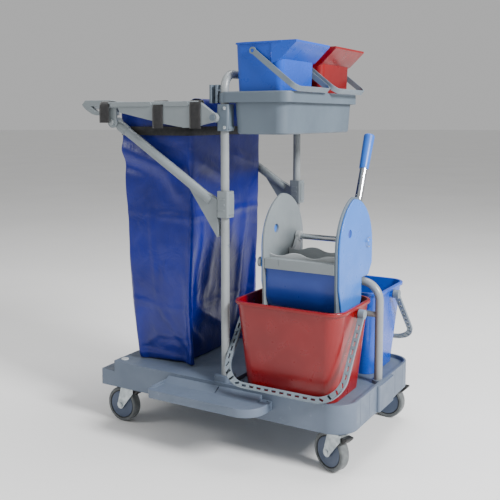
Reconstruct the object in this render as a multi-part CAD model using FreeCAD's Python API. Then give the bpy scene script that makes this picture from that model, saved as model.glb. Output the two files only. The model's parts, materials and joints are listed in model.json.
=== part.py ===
"""Janitor's cleaning trolley: two press buckets, jaw wringer, upper tray and bag holder.

Units are millimetres, +Z up, +X towards the bucket end, -Y towards the working side.
The pieces are designed about the middle of the platform at floor level, and save()
moves them so that the origin is the bottom centre of the whole trolley's box.
"""
import FreeCAD, Part
import math
import os

V = FreeCAD.Vector
X_AXIS = V(1, 0, 0)
Y_AXIS = V(0, 1, 0)
Z_AXIS = V(0, 0, 1)

# ---- driving dimensions -------------------------------------------------------------
PLATFORM_LENGTH = 772.0
PLATFORM_WIDTH = 470.0
PLATFORM_HEIGHT = 74.0
PLATFORM_WALL = 6.0
DECK_THICKNESS = 9.0
RECESS_DEPTH = 11.0
RECESS_WALL = 7.0
END_RADIUS = 60.0
LEDGE_LENGTH = 46.0
LEDGE_DROP = 30.0
SOCKET_PROUD = 8.0
PLUG_RADIUS = 11.0

SHELF_LENGTH = 328.0
SHELF_REACH = 92.0
SHELF_THICKNESS = 22.0
SHELF_DROP = 20.0
SHELF_WALL = 5.0

WHEEL_RADIUS = 50.0
TYRE_WIDTH = 27.0
TYRE_DEPTH = 9.0
AXLE_RADIUS = 4.0
FORK_PLATE = 2.5
CASTER_TRAIL = 25.0
CASTER_INSET_RIGHT = 36.0
CASTER_INSET_LEFT = 86.0
CASTER_INSET_Y = 30.0
RACE_RADIUS = 17.0
STEM_RADIUS = 8.0
CASTER_TURNS = {"front_left": 0.0, "front_right": -21.0, "rear_left": 0.0, "rear_right": -3.0}

TUBE_RADIUS = 11.0
TUBE_WALL = 1.5
UPRIGHT_INSET = 30.0
PORTAL_HEIGHT = 804.0
PORTAL_BEND = 40.0
BUTTON_RADIUS = 3.4

CLAMP_HEIGHT = 68.0
CLAMP_WALL = 6.0
BRACKET_HEIGHT = 68.0
FOLD_PIN_RADIUS = 5.0
ARM_PIN_RADIUS = 5.0

TRAY_BELOW_TOP = 46.0
TRAY_RIM_DEPTH = 28.0
TRAY_DEPTH = 108.0
TRAY_LENGTH = 207.0
TRAY_WALL = 4.0

SMALL_BUCKET_HEIGHT = 226.0
SMALL_BUCKET_WALL = 3.0
SMALL_TAPER = 8.0
BUCKET_SPLIT = 12.0
SPOUT_REACH = 40.0
SMALL_BAIL_REACH = 155.0
SMALL_BAIL_HANG = 38.0
SMALL_STUD_RADIUS = 4.0

BUCKET_LENGTH = 310.0
BUCKET_HEIGHT = 235.0
BUCKET_WALL = 3.0
BUCKET_FLARE = 28.0
BUCKET_RIM_GAP = 2.0
RIM_ROLL = 5.0
BAIL_BAND = 16.0
BAIL_THICKNESS = 7.0
BAIL_BEND = 66.0
BAIL_STUD_RADIUS = 5.0
BAIL_EYE_RADIUS = 12.0
RED_BAIL_ANGLE = 36.0
BLUE_BAIL_ANGLE = 44.0

ARCH_Y = 7.0
ARCH_ABOVE_RIM = 35.0
ARCH_BEND = 48.0
ARCH_RAIL_RADIUS = 8.0
ARCH_RAIL_DROP = 86.0

WRINGER_HEIGHT = 221.0
WRINGER_DEPTH = 226.0
WRINGER_PLATE = 6.0
COVER_THICKNESS = 6.0
JAW_THICKNESS = 4.0
JAW_HOLE_RADIUS = 4.5
JAW_HOLE_PITCH = 26.0
ROD_RADIUS = 8.0
ROD_ABOVE_ARCH = 95.0
LEVER_RADIUS = 11.0
LEVER_LENGTH = 304.0
LEVER_TILT = 23.0
LEVER_FROM_RIGHT = 45.0
GRIP_LENGTH = 100.0

RING_BELOW_TOP = 69.0
RING_FLANGE = 15.0
RING_SKIRT = 69.0
RING_BAR = 30.0
RAIL_THICKNESS = 13.0
HANDLE_REACH = 131.0
HANDLE_HALF = 150.0
GRIP_RADIUS = 13.0
ARM_RADIUS = 12.5
STRAP_WIDTH = 38.0
STRAP_THICKNESS = 2.2
STRAP_GAP = 0.3
BAG_WALL = 4.0

MOVING_GAP = 0.4
SIDE_GAP = 3.0
CUT = 1.0

# ---- places worked out from the driving dimensions ----------------------------------
HALF_LENGTH = PLATFORM_LENGTH / 2
HALF_WIDTH = PLATFORM_WIDTH / 2
PLATFORM_BOTTOM = 2 * WHEEL_RADIUS + 7.0
PLATFORM_TOP = PLATFORM_BOTTOM + PLATFORM_HEIGHT
LEDGE_TOP = PLATFORM_TOP - LEDGE_DROP
DECK_LEFT = -HALF_LENGTH + LEDGE_LENGTH
RECESS_FLOOR = PLATFORM_TOP - RECESS_DEPTH

BUCKET_MIDDLE_X = HALF_LENGTH - 24.0 - BUCKET_LENGTH / 2
BUCKET_LEFT = BUCKET_MIDDLE_X - BUCKET_LENGTH / 2
RECESS_LEFT = BUCKET_LEFT - 12.0
UPRIGHT_X = BUCKET_LEFT - TUBE_RADIUS - 19.0
UPRIGHT_Y = HALF_WIDTH - UPRIGHT_INSET
SHELF_LEFT = UPRIGHT_X - 170.0
SHELF_RIGHT = SHELF_LEFT + SHELF_LENGTH
SHELF_TOP = PLATFORM_TOP - SHELF_DROP
SHELF_BOTTOM = SHELF_TOP - SHELF_THICKNESS

FORK_INNER = TYRE_WIDTH / 2 + 2.5
FORK_OUTER = FORK_INNER + FORK_PLATE
CROWN_LOW = 2 * WHEEL_RADIUS + 2.0
CROWN_HIGH = PLATFORM_BOTTOM - 0.6

PORTAL_TOP = PLATFORM_TOP + PORTAL_HEIGHT
TRAY_RIM_TOP = PORTAL_TOP - TRAY_BELOW_TOP
RING_TOP = PORTAL_TOP - RING_BELOW_TOP
FOLD_X = UPRIGHT_X - TUBE_RADIUS - 6.0
FOLD_Z = RING_TOP - 43.0
CLAMP_MIDDLE = FOLD_Z - 223.0
BUTTON_HEIGHTS = (CLAMP_MIDDLE - 108.0, CLAMP_MIDDLE - 357.0)
ARM_Y = UPRIGHT_Y + 4.5
RAIL_INNER = UPRIGHT_Y + TUBE_RADIUS + 7.0
RAIL_OUTER = RAIL_INNER + RAIL_THICKNESS

ARCH_REACH = BUCKET_LENGTH / 2 + 7.0
RED_RIM_BACK = ARCH_Y - TUBE_RADIUS - BUCKET_RIM_GAP
BLUE_RIM_FRONT = ARCH_Y + TUBE_RADIUS + BUCKET_RIM_GAP
BUCKET_WIDTH = RED_RIM_BACK + HALF_WIDTH - 1.0
RED_MIDDLE_Y = RED_RIM_BACK - BUCKET_WIDTH / 2
BLUE_MIDDLE_Y = BLUE_RIM_FRONT + BUCKET_WIDTH / 2
BUCKET_FLOOR = RECESS_FLOOR
BUCKET_RIM = BUCKET_FLOOR + BUCKET_HEIGHT
BAIL_PIVOT_Z = BUCKET_RIM - 20.0
BAIL_REACH = BUCKET_HEIGHT - 1.0
BAIL_HALF = BUCKET_LENGTH / 2 + 1.5 + BAIL_BAND / 2
ARCH_TOP = BUCKET_RIM + ARCH_ABOVE_RIM
ARCH_RAIL_Z = ARCH_TOP - ARCH_RAIL_DROP
SHOULDER = ARCH_TOP + TUBE_RADIUS + MOVING_GAP

WRINGER_WIDTH = BUCKET_LENGTH - 88.0
WRINGER_MIDDLE_X = BUCKET_MIDDLE_X + 12.0
WRINGER_RIGHT = WRINGER_MIDDLE_X + WRINGER_WIDTH / 2
WRINGER_LEFT = WRINGER_MIDDLE_X - WRINGER_WIDTH / 2
WRINGER_BACK = ARCH_Y + 47.0
WRINGER_FRONT = WRINGER_BACK - WRINGER_DEPTH
WRINGER_TOP = ARCH_TOP + TUBE_RADIUS + WRINGER_HEIGHT
WRINGER_FLOOR = BUCKET_RIM - 105.0
INNER_RIGHT = WRINGER_RIGHT - COVER_THICKNESS - WRINGER_PLATE
INNER_LEFT = WRINGER_LEFT + COVER_THICKNESS + WRINGER_PLATE
HOLE_Y = WRINGER_FRONT + 67.0
HOLE_Z = WRINGER_TOP - 90.0
JAW_TOP = WRINGER_TOP - 151.0
BAR_LOW = WRINGER_TOP - 186.0
BAR_HIGH = BAR_LOW + 26.0
BAR_Y = WRINGER_FRONT + 14.0
BAR_Z = (BAR_LOW + BAR_HIGH) / 2
ROD_Y = ARCH_Y + 5.0
ROD_Z = ARCH_TOP + TUBE_RADIUS + ROD_ABOVE_ARCH
PRESS_Y = ROD_Y - 46.0
LEVER_X = WRINGER_RIGHT - LEVER_FROM_RIGHT

TRAY_LEFT = UPRIGHT_X - TUBE_RADIUS - 3.0
TRAY_RIGHT = TRAY_LEFT + TRAY_LENGTH
TRAY_HALF = UPRIGHT_Y + 15.0
TRAY_FLOOR = TRAY_RIM_TOP - TRAY_DEPTH + TRAY_WALL
BASIN_LEFT = UPRIGHT_X + TUBE_RADIUS + 12.0
BASIN_RIGHT = TRAY_RIGHT - 12.0
BASIN_HALF = TRAY_HALF - 5.0
SMALL_LEFT = {"blue": BASIN_LEFT + TRAY_WALL, "red": BASIN_LEFT + TRAY_WALL + 9.0}
SMALL_SIDE = {"blue": -1, "red": 1}
SMALL_BUCKET_LENGTH = BASIN_RIGHT - TRAY_WALL - 4.0 - SMALL_LEFT["red"]
SMALL_BUCKET_WIDTH = BASIN_HALF - TRAY_WALL - BUCKET_SPLIT - 9.0
SMALL_RIM = TRAY_FLOOR + SMALL_BUCKET_HEIGHT
SMALL_PIVOT_Z = SMALL_RIM - 22.0

RING_LEFT = -HALF_LENGTH + 9.0
RING_BOTTOM = RING_TOP - RING_SKIRT
CROSSBAR_X = UPRIGHT_X - 107.0
HANDLE_END = RING_LEFT - HANDLE_REACH
LUG_X = RING_LEFT + 45.0
LUG_Z = RING_TOP - 56.0
ARM_FOOT_X = UPRIGHT_X - TUBE_RADIUS - 16.0
STRAP_PLACES = (RING_LEFT + 25.0, CROSSBAR_X - 83.0, CROSSBAR_X + 37.0)
BAG_HALF = ARM_Y - ARM_RADIUS - 4.0
BAG_TOP = RING_BOTTOM - 1.0
BAG_LEFT_TOP = RING_LEFT + 37.0
BAG_LEFT_BOTTOM = DECK_LEFT + 40.0
BAG_RIGHT = CROSSBAR_X - 10.0

BAIL_BACK = BLUE_MIDDLE_Y + (BAIL_REACH + BAIL_BAND / 2) * math.sin(math.radians(BLUE_BAIL_ANGLE))
BAIL_BACK += BAIL_THICKNESS / 2 * math.cos(math.radians(BLUE_BAIL_ANGLE))
SHIFT_X = -(HANDLE_END + HALF_LENGTH + SOCKET_PROUD) / 2
SHIFT_Y = -(BAIL_BACK - HALF_WIDTH - SHELF_REACH) / 2
CASTER_PLACES = {
    "front_left": (-HALF_LENGTH + CASTER_INSET_LEFT, -HALF_WIDTH + CASTER_INSET_Y),
    "front_right": (HALF_LENGTH - CASTER_INSET_RIGHT, -HALF_WIDTH + CASTER_INSET_Y),
    "rear_left": (-HALF_LENGTH + CASTER_INSET_LEFT, HALF_WIDTH - CASTER_INSET_Y),
    "rear_right": (HALF_LENGTH - CASTER_INSET_RIGHT, HALF_WIDTH - CASTER_INSET_Y),
}


# ---- small helpers ------------------------------------------------------------------
def save(name, shape):
    """Write one sub-part, moved into the trolley's own frame."""
    placed = shape.copy()
    placed.translate(V(SHIFT_X, SHIFT_Y, 0))
    placed.exportStep("parts/%s.step" % name)


def block(x0, x1, y0, y1, z0, z1):
    """A box between two corners."""
    return Part.makeBox(x1 - x0, y1 - y0, z1 - z0, V(x0, y0, z0))


def rod(radius, start, end):
    """A round bar from one point to another."""
    run = V(end).sub(V(start))
    return Part.makeCylinder(radius, run.Length, V(start), run)


def fuse(shapes):
    """One solid from several that touch."""
    return shapes[0].multiFuse(shapes[1:]).removeSplitter()


def rounded_wire(x0, x1, y0, y1, z, radii):
    """A rectangle with a radius at each corner: left-front, right-front, right-rear, left-rear."""
    r0, r1, r2, r3 = radii
    s = math.sqrt(0.5)
    lines = [
        Part.LineSegment(V(x0 + r0, y0, z), V(x1 - r1, y0, z)),
        Part.Arc(V(x1 - r1, y0, z), V(x1 - r1 + r1 * s, y0 + r1 - r1 * s, z), V(x1, y0 + r1, z)),
        Part.LineSegment(V(x1, y0 + r1, z), V(x1, y1 - r2, z)),
        Part.Arc(V(x1, y1 - r2, z), V(x1 - r2 + r2 * s, y1 - r2 + r2 * s, z), V(x1 - r2, y1, z)),
        Part.LineSegment(V(x1 - r2, y1, z), V(x0 + r3, y1, z)),
        Part.Arc(V(x0 + r3, y1, z), V(x0 + r3 - r3 * s, y1 - r3 + r3 * s, z), V(x0, y1 - r3, z)),
        Part.LineSegment(V(x0, y1 - r3, z), V(x0, y0 + r0, z)),
        Part.Arc(V(x0, y0 + r0, z), V(x0 + r0 - r0 * s, y0 + r0 - r0 * s, z), V(x0 + r0, y0, z)),
    ]
    return Part.Wire([line.toShape() for line in lines])


def slab(x0, x1, y0, y1, z0, z1, radii):
    """A plate with rounded corners."""
    if not hasattr(radii, "__len__"):
        radii = (radii,) * 4
    return Part.Face(rounded_wire(x0, x1, y0, y1, z0, radii)).extrude(V(0, 0, z1 - z0))


def tub(low, high, z0, z1, r0, r1):
    """A tapered solid between two rounded rectangles, each given as x0, x1, y0, y1."""
    wires = [rounded_wire(*low, z0, (r0,) * 4), rounded_wire(*high, z1, (r1,) * 4)]
    return Part.makeLoft(wires, True, True)


def grow(box, amount):
    """A rectangle x0, x1, y0, y1 made larger all round, or smaller."""
    return (box[0] - amount, box[1] + amount, box[2] - amount, box[3] + amount)


def outline_yz(points, x0, x1):
    """A plate with a straight-sided outline in Y and Z, from x0 to x1."""
    corners = [V(x0, y, z) for y, z in points]
    return Part.Face(Part.makePolygon(corners + corners[:1])).extrude(V(x1 - x0, 0, 0))


def outline_xz(points, y0, y1):
    """A plate with a straight-sided outline in X and Z, from y0 to y1."""
    corners = [V(x, y0, z) for x, z in points]
    return Part.Face(Part.makePolygon(corners + corners[:1])).extrude(V(0, y1 - y0, 0))


def bent_path(points, bend):
    """A path of straight runs joined by tangent arcs of one radius."""
    edges = []
    start = V(points[0])
    for before, corner, after in zip(points, points[1:], points[2:]):
        into = V(corner).sub(V(before)).normalize()
        out = V(after).sub(V(corner)).normalize()
        half_turn = into.getAngle(out) / 2
        back = bend * math.tan(half_turn)
        first = V(corner).sub(V(into).multiply(back))
        last = V(corner).add(V(out).multiply(back))
        inward = V(out).sub(into).normalize()
        depth = bend / math.cos(half_turn) - bend
        middle = V(corner).add(V(inward).multiply(depth))
        edges.append(Part.LineSegment(start, first).toShape())
        edges.append(Part.Arc(first, middle, last).toShape())
        start = last
    edges.append(Part.LineSegment(start, V(points[-1])).toShape())
    return Part.Wire(edges)


def swept(path, radius):
    """A round bar along a bent path."""
    start = path.Edges[0]
    circle = Part.Circle(start.valueAt(start.FirstParameter), start.tangentAt(start.FirstParameter), radius)
    return path.makePipeShell([Part.Wire(circle.toShape())], True, False)


def bent_tube(points, bend, radius, wall):
    """A hollow tube along a bent path."""
    path = bent_path(points, bend)
    return swept(path, radius).cut(swept(path, radius - wall))


def both_sides(shape):
    """A shape and its mirror image across the middle plane."""
    return Part.makeCompound([shape, shape.mirror(V(0, 0, 0), Y_AXIS)])


# ---- platform -----------------------------------------------------------------------
def deck_shell():
    """Hollow deck with its low end ledge, bucket recess and end socket."""
    wall, inner = PLATFORM_WALL, RECESS_WALL
    ledge = slab(-HALF_LENGTH, DECK_LEFT + 20, -HALF_WIDTH, HALF_WIDTH, PLATFORM_BOTTOM, LEDGE_TOP, 8.0)
    deck = slab(DECK_LEFT, HALF_LENGTH, -HALF_WIDTH, HALF_WIDTH, PLATFORM_BOTTOM, PLATFORM_TOP,
                (8.0, END_RADIUS, END_RADIUS, 8.0))
    socket = slab(HALF_LENGTH - 20, HALF_LENGTH + SOCKET_PROUD, ARCH_Y - 52, ARCH_Y + 58,
                  PLATFORM_BOTTOM + 2, PLATFORM_TOP - 3, 6.0)
    recess = slab(RECESS_LEFT, HALF_LENGTH - inner, -HALF_WIDTH + inner, HALF_WIDTH - inner,
                  RECESS_FLOOR, PLATFORM_TOP + CUT, (12.0, END_RADIUS - inner, END_RADIUS - inner, 12.0))
    under_ledge = block(-HALF_LENGTH + wall, DECK_LEFT + 20, -HALF_WIDTH + wall, HALF_WIDTH - wall,
                        PLATFORM_BOTTOM - CUT, LEDGE_TOP - DECK_THICKNESS)
    under_deck = slab(DECK_LEFT + wall, HALF_LENGTH - wall, -HALF_WIDTH + wall, HALF_WIDTH - wall,
                      PLATFORM_BOTTOM - CUT, RECESS_FLOOR - DECK_THICKNESS,
                      (4.0, END_RADIUS - wall, END_RADIUS - wall, 4.0))
    return fuse([ledge, deck, socket]).cut(fuse([under_ledge, under_deck])).cut(recess)


def arch_feet():
    """The two places along X where the arch stands."""
    return BUCKET_MIDDLE_X - ARCH_REACH, BUCKET_MIDDLE_X + ARCH_REACH


def deck_bosses():
    """Middle rib, caster bosses, feet of the uprights and collars of the arch."""
    wall = PLATFORM_WALL
    low = PLATFORM_BOTTOM + 5
    bosses = [block(-HALF_LENGTH + wall - CUT, HALF_LENGTH - wall + CUT, -wall / 2, wall / 2,
                    PLATFORM_BOTTOM + 6, LEDGE_TOP - DECK_THICKNESS + 2)]
    for x, y in CASTER_PLACES.values():
        top = RECESS_FLOOR - 6 if x > DECK_LEFT + 30 else LEDGE_TOP - 2
        bosses.append(Part.makeCylinder(STEM_RADIUS + 10, top - low, V(x, y, low)))
    for side in (-1, 1):
        foot = block(UPRIGHT_X - 24, UPRIGHT_X + 20, side * UPRIGHT_Y - 24, side * UPRIGHT_Y + 24,
                     RECESS_FLOOR - 3, PLATFORM_TOP + 14)
        bosses.append(foot.makeFillet(8, [e for e in foot.Edges if abs(e.tangentAt(0).z) > 0.9]))
    for x in arch_feet():
        bosses.append(Part.makeCylinder(TUBE_RADIUS + 5, 10, V(x, ARCH_Y, RECESS_FLOOR - CUT)))
    return bosses


def deck_holes():
    """Holes for the uprights, the arch, the caster stems and the plug."""
    holes = []
    for side in (-1, 1):
        holes.append(Part.makeCylinder(TUBE_RADIUS, 60, V(UPRIGHT_X, side * UPRIGHT_Y, RECESS_FLOOR)))
    for x in arch_feet():
        holes.append(Part.makeCylinder(TUBE_RADIUS, 20, V(x, ARCH_Y, RECESS_FLOOR)))
    for x, y in CASTER_PLACES.values():
        holes.append(Part.makeCylinder(STEM_RADIUS, 30, V(x, y, PLATFORM_BOTTOM)))
        holes.append(Part.makeCylinder(RACE_RADIUS, 5, V(x, y, PLATFORM_BOTTOM)))
    plug_x, plug_y = plug_place()
    holes.append(Part.makeCylinder(PLUG_RADIUS - 2, 6, V(plug_x, plug_y, PLATFORM_TOP - 5)))
    return holes


def platform():
    """Moulded deck: bag deck, bucket recess, low end ledge and sockets."""
    return fuse([deck_shell()] + deck_bosses()).cut(Part.makeCompound(deck_holes()))


def plug_place():
    """Where the small blanking plug sits on the bag deck."""
    return DECK_LEFT + 20, -HALF_WIDTH + 30


def deck_plug():
    """Blanking plug with a domed head."""
    x, y = plug_place()
    head = Part.makeCylinder(PLUG_RADIUS, 2.5, V(x, y, PLATFORM_TOP))
    head = head.makeFillet(1.5, [head.Edges[0]])
    return fuse([head, Part.makeCylinder(PLUG_RADIUS - 2.2, 5.5, V(x, y, PLATFORM_TOP - 4.5))])


def front_shelf():
    """Shallow foot shelf moulded as its own piece, hung on the working side."""
    y_wall = -HALF_WIDTH
    y_front = y_wall - SHELF_REACH
    radii = (12.0, END_RADIUS, 3.0, 3.0)
    base = slab(SHELF_LEFT, SHELF_RIGHT, y_front, y_wall, SHELF_BOTTOM, SHELF_TOP, radii)
    wall = SHELF_WALL
    hollow = slab(SHELF_LEFT + wall, SHELF_RIGHT - wall, y_front + wall, y_wall - wall, SHELF_BOTTOM - CUT,
                  SHELF_TOP - wall - 1, (8.0, END_RADIUS - wall, 2.0, 2.0))
    dish = slab(SHELF_LEFT + 8, SHELF_RIGHT - 8, y_front + 8, y_wall - 4, SHELF_TOP - 3, SHELF_TOP + CUT,
                (8.0, END_RADIUS - 8, 2.0, 2.0))
    edge = block(SHELF_LEFT, SHELF_LEFT + 4, y_front + 20, y_wall, SHELF_TOP - 1, SHELF_TOP + 3)
    ramp = outline_yz([(y_wall, SHELF_TOP - 4), (y_wall, SHELF_TOP + 12), (y_wall - 26, SHELF_TOP - 4)],
                      SHELF_LEFT + 4, SHELF_RIGHT - 30)
    slot = block(UPRIGHT_X - 3, UPRIGHT_X, y_wall - 40, y_wall, SHELF_TOP - 2, SHELF_TOP + 14)
    return fuse([base.cut(hollow).cut(dish), edge, ramp]).cut(slot)


# ---- casters ------------------------------------------------------------------------
def caster_heads():
    """Swivel bearing housings under the deck, one at each corner."""
    heads = []
    for x, y in CASTER_PLACES.values():
        race = Part.makeCylinder(RACE_RADIUS, 4.5, V(x, y, PLATFORM_BOTTOM + MOVING_GAP))
        stem = Part.makeCylinder(STEM_RADIUS, 22, V(x, y, PLATFORM_BOTTOM + 4))
        heads.append(fuse([race, stem]))
    return Part.makeCompound(heads)


def caster_piece(name, shape):
    """Turn and move a caster piece from its own frame to its corner."""
    x, y = CASTER_PLACES[name]
    placed = shape.copy()
    placed.rotate(V(0, 0, 0), Z_AXIS, CASTER_TURNS[name])
    placed.translate(V(x, y, 0))
    return placed


def caster_fork():
    """Pressed fork: a crown plate and two legs that taper to the axle."""
    crown = slab(-22, 22, -FORK_OUTER, FORK_OUTER, CROWN_LOW, CROWN_HIGH, 3.0)
    disc = Part.makeCylinder(FORK_OUTER + 4, CROWN_HIGH - CROWN_LOW, V(0, 0, CROWN_LOW))
    pieces = [crown, disc]
    for side in (-1, 1):
        y0 = min(side * FORK_INNER, side * FORK_OUTER)
        top = [(-21, CROWN_HIGH), (21, CROWN_HIGH), (20, CROWN_LOW - 12)]
        low = [(-CASTER_TRAIL + 11, WHEEL_RADIUS - 3), (-CASTER_TRAIL - 11, WHEEL_RADIUS - 1),
               (-CASTER_TRAIL, CROWN_LOW - 10)]
        pieces.append(outline_xz(top + low, y0, y0 + FORK_PLATE))
        pieces.append(Part.makeCylinder(11.5, FORK_PLATE, V(-CASTER_TRAIL, y0, WHEEL_RADIUS), Y_AXIS))
    bore_start = V(-CASTER_TRAIL, -2 * FORK_OUTER, WHEEL_RADIUS)
    bore = Part.makeCylinder(AXLE_RADIUS, 4 * FORK_OUTER, bore_start, Y_AXIS)
    return fuse(pieces).cut(bore)


def caster_axle():
    """Axle bolt with a head and a nut outside the fork."""
    length = 2 * FORK_OUTER + 7
    bar = Part.makeCylinder(AXLE_RADIUS, length, V(-CASTER_TRAIL, -length / 2, WHEEL_RADIUS), Y_AXIS)
    ends = []
    for y in (-FORK_OUTER - 3, FORK_OUTER):
        ends.append(Part.makeCylinder(AXLE_RADIUS + 2.5, 3, V(-CASTER_TRAIL, y, WHEEL_RADIUS), Y_AXIS))
    return fuse([bar] + ends)


def caster_guard():
    """Black thread guard under the front of the crown."""
    points = [(14, CROWN_LOW), (38, CROWN_LOW), (37, CROWN_LOW - 5), (24, CROWN_LOW - 18), (19, CROWN_LOW - 12)]
    return outline_xz(points, -TYRE_WIDTH / 2, TYRE_WIDTH / 2)


def wheel_hub():
    """Wheel centre: a disc with a raised boss and a stepped rim."""
    centre = V(-CASTER_TRAIL, 0, WHEEL_RADIUS)
    parts = []
    steps = (
        (WHEEL_RADIUS - TYRE_DEPTH, TYRE_WIDTH / 3),
        (WHEEL_RADIUS - TYRE_DEPTH - 3, TYRE_WIDTH / 2 - 1.5),
        (11.0, FORK_INNER - MOVING_GAP),
    )
    for radius, half in steps:
        parts.append(Part.makeCylinder(radius, 2 * half, centre.sub(V(0, half, 0)), Y_AXIS))
    bore = Part.makeCylinder(AXLE_RADIUS + 0.3, 4 * FORK_OUTER, centre.sub(V(0, 2 * FORK_OUTER, 0)), Y_AXIS)
    return fuse(parts).cut(bore)


def wheel_tyre():
    """Rubber tread ring with rounded shoulders."""
    centre = V(-CASTER_TRAIL, -TYRE_WIDTH / 2, WHEEL_RADIUS)
    ring = Part.makeCylinder(WHEEL_RADIUS, TYRE_WIDTH, centre, Y_AXIS)
    ring = ring.makeFillet(5, [e for e in ring.Edges if len(e.Vertexes) == 1])
    seat_start = centre.sub(V(0, TYRE_WIDTH, 0))
    return ring.cut(Part.makeCylinder(WHEEL_RADIUS - TYRE_DEPTH, 3 * TYRE_WIDTH, seat_start, Y_AXIS))


# ---- portal, clamps and hinge brackets ------------------------------------------------
def portal_tube():
    """Two uprights and the top bar, bent from one tube."""
    foot = RECESS_FLOOR
    points = [V(UPRIGHT_X, -UPRIGHT_Y, foot), V(UPRIGHT_X, -UPRIGHT_Y, PORTAL_TOP),
              V(UPRIGHT_X, UPRIGHT_Y, PORTAL_TOP), V(UPRIGHT_X, UPRIGHT_Y, foot)]
    tube = bent_tube(points, PORTAL_BEND, TUBE_RADIUS, TUBE_WALL)
    holes = []
    for z in BUTTON_HEIGHTS:
        for side in (-1, 1):
            start = (UPRIGHT_X + 2, side * UPRIGHT_Y, z)
            holes.append(rod(BUTTON_RADIUS + 0.1, start, (UPRIGHT_X + TUBE_RADIUS + 3, side * UPRIGHT_Y, z)))
    return tube.cut(Part.makeCompound(holes))


def height_buttons():
    """Spring buttons that stand in the uprights' holes."""
    buttons = []
    for z in BUTTON_HEIGHTS:
        for side in (-1, 1):
            start = (UPRIGHT_X + TUBE_RADIUS - TUBE_WALL - 1, side * UPRIGHT_Y, z)
            end = (UPRIGHT_X + TUBE_RADIUS + 0.8, side * UPRIGHT_Y, z)
            buttons.append(rod(BUTTON_RADIUS, start, end))
    return Part.makeCompound(buttons)


def arm_clamps():
    """Sliding clamps that carry the arms' lower ends, one on each upright."""
    low = CLAMP_MIDDLE - CLAMP_HEIGHT / 2
    y = UPRIGHT_Y
    out = TUBE_RADIUS + CLAMP_WALL
    body = slab(UPRIGHT_X - out + 1, UPRIGHT_X + out + 2, y - out, y + out, low, low + CLAMP_HEIGHT, 6.0)
    latch = slab(UPRIGHT_X + out - 5, UPRIGHT_X + out + 4.5, y - 12, y + 12,
                 low + 8, low + CLAMP_HEIGHT - 8, 3.0)
    ribs = []
    for z in (low + 18, low + 32, low + 46):
        for rib_low in (y - out - 1.5, y + out - 3):
            ribs.append(slab(UPRIGHT_X - 9, UPRIGHT_X + 9, rib_low, rib_low + 4.5, z, z + 4, 1.5))
    bore = Part.makeCylinder(TUBE_RADIUS + MOVING_GAP, CLAMP_HEIGHT + 2, V(UPRIGHT_X, y, low - CUT))
    waist = block(UPRIGHT_X - out - 3, UPRIGHT_X - out + 3.5, y - out - 1, y + out + 1, low + 16, low + 20)
    return both_sides(fuse([body, latch] + ribs).cut(bore).cut(waist))


def hinge_brackets():
    """Fixed brackets on the uprights, each with the pin that the bag frame folds on."""
    low = FOLD_Z - BRACKET_HEIGHT / 2
    y = UPRIGHT_Y
    out = TUBE_RADIUS + 5
    body = slab(UPRIGHT_X - out + 1, UPRIGHT_X + out + 4, y - out, y + out, low, low + BRACKET_HEIGHT, 6.0)
    ear = fuse([Part.makeCylinder(13, 2 * out, V(FOLD_X, y - out, FOLD_Z), Y_AXIS),
                block(FOLD_X, UPRIGHT_X, y - out, y + out, FOLD_Z - 13, FOLD_Z + 13)])
    collar = slab(UPRIGHT_X - out + 3, UPRIGHT_X + out + 7, y - 14, y + 14, low + 6, low + 12, 4.0)
    seat = Part.makeCylinder(TUBE_RADIUS, BRACKET_HEIGHT + 12, V(UPRIGHT_X, y, low - 2))
    shape = fuse([body, ear, collar]).cut(seat)
    pin_start = y + out - 4
    pin = Part.makeCylinder(FOLD_PIN_RADIUS, RAIL_OUTER + 3 - pin_start, V(FOLD_X, pin_start, FOLD_Z), Y_AXIS)
    head = Part.makeCylinder(FOLD_PIN_RADIUS + 3, 2, V(FOLD_X, RAIL_OUTER + 1, FOLD_Z), Y_AXIS)
    return both_sides(fuse([shape, pin, head]))


def top_bar_clip():
    """Tool clip on the working-side upright: two jaws on a web, held by a collar above the tray."""
    y = -UPRIGHT_Y
    z0 = TRAY_RIM_TOP - TRAY_RIM_DEPTH - 1
    z1 = TRAY_RIM_TOP + 18
    right = TRAY_LEFT - SIDE_GAP / 2
    jaws = [slab(x, x + 7, y - 11, y + 15, z0, z1, 2.0) for x in (right - 25, right - 7)]
    web = block(right - 20, right - 5, y + 7, y + 15, z0 + 4, z1 - 4)
    collar = block(right - 2, UPRIGHT_X, y - 9, y + 15, TRAY_RIM_TOP + 1, PORTAL_TOP - PORTAL_BEND)
    seat = Part.makeCylinder(TUBE_RADIUS, z1 - z0 + 4, V(UPRIGHT_X, y, z0 - 2))
    return fuse([web, collar] + jaws).cut(seat)


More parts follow.
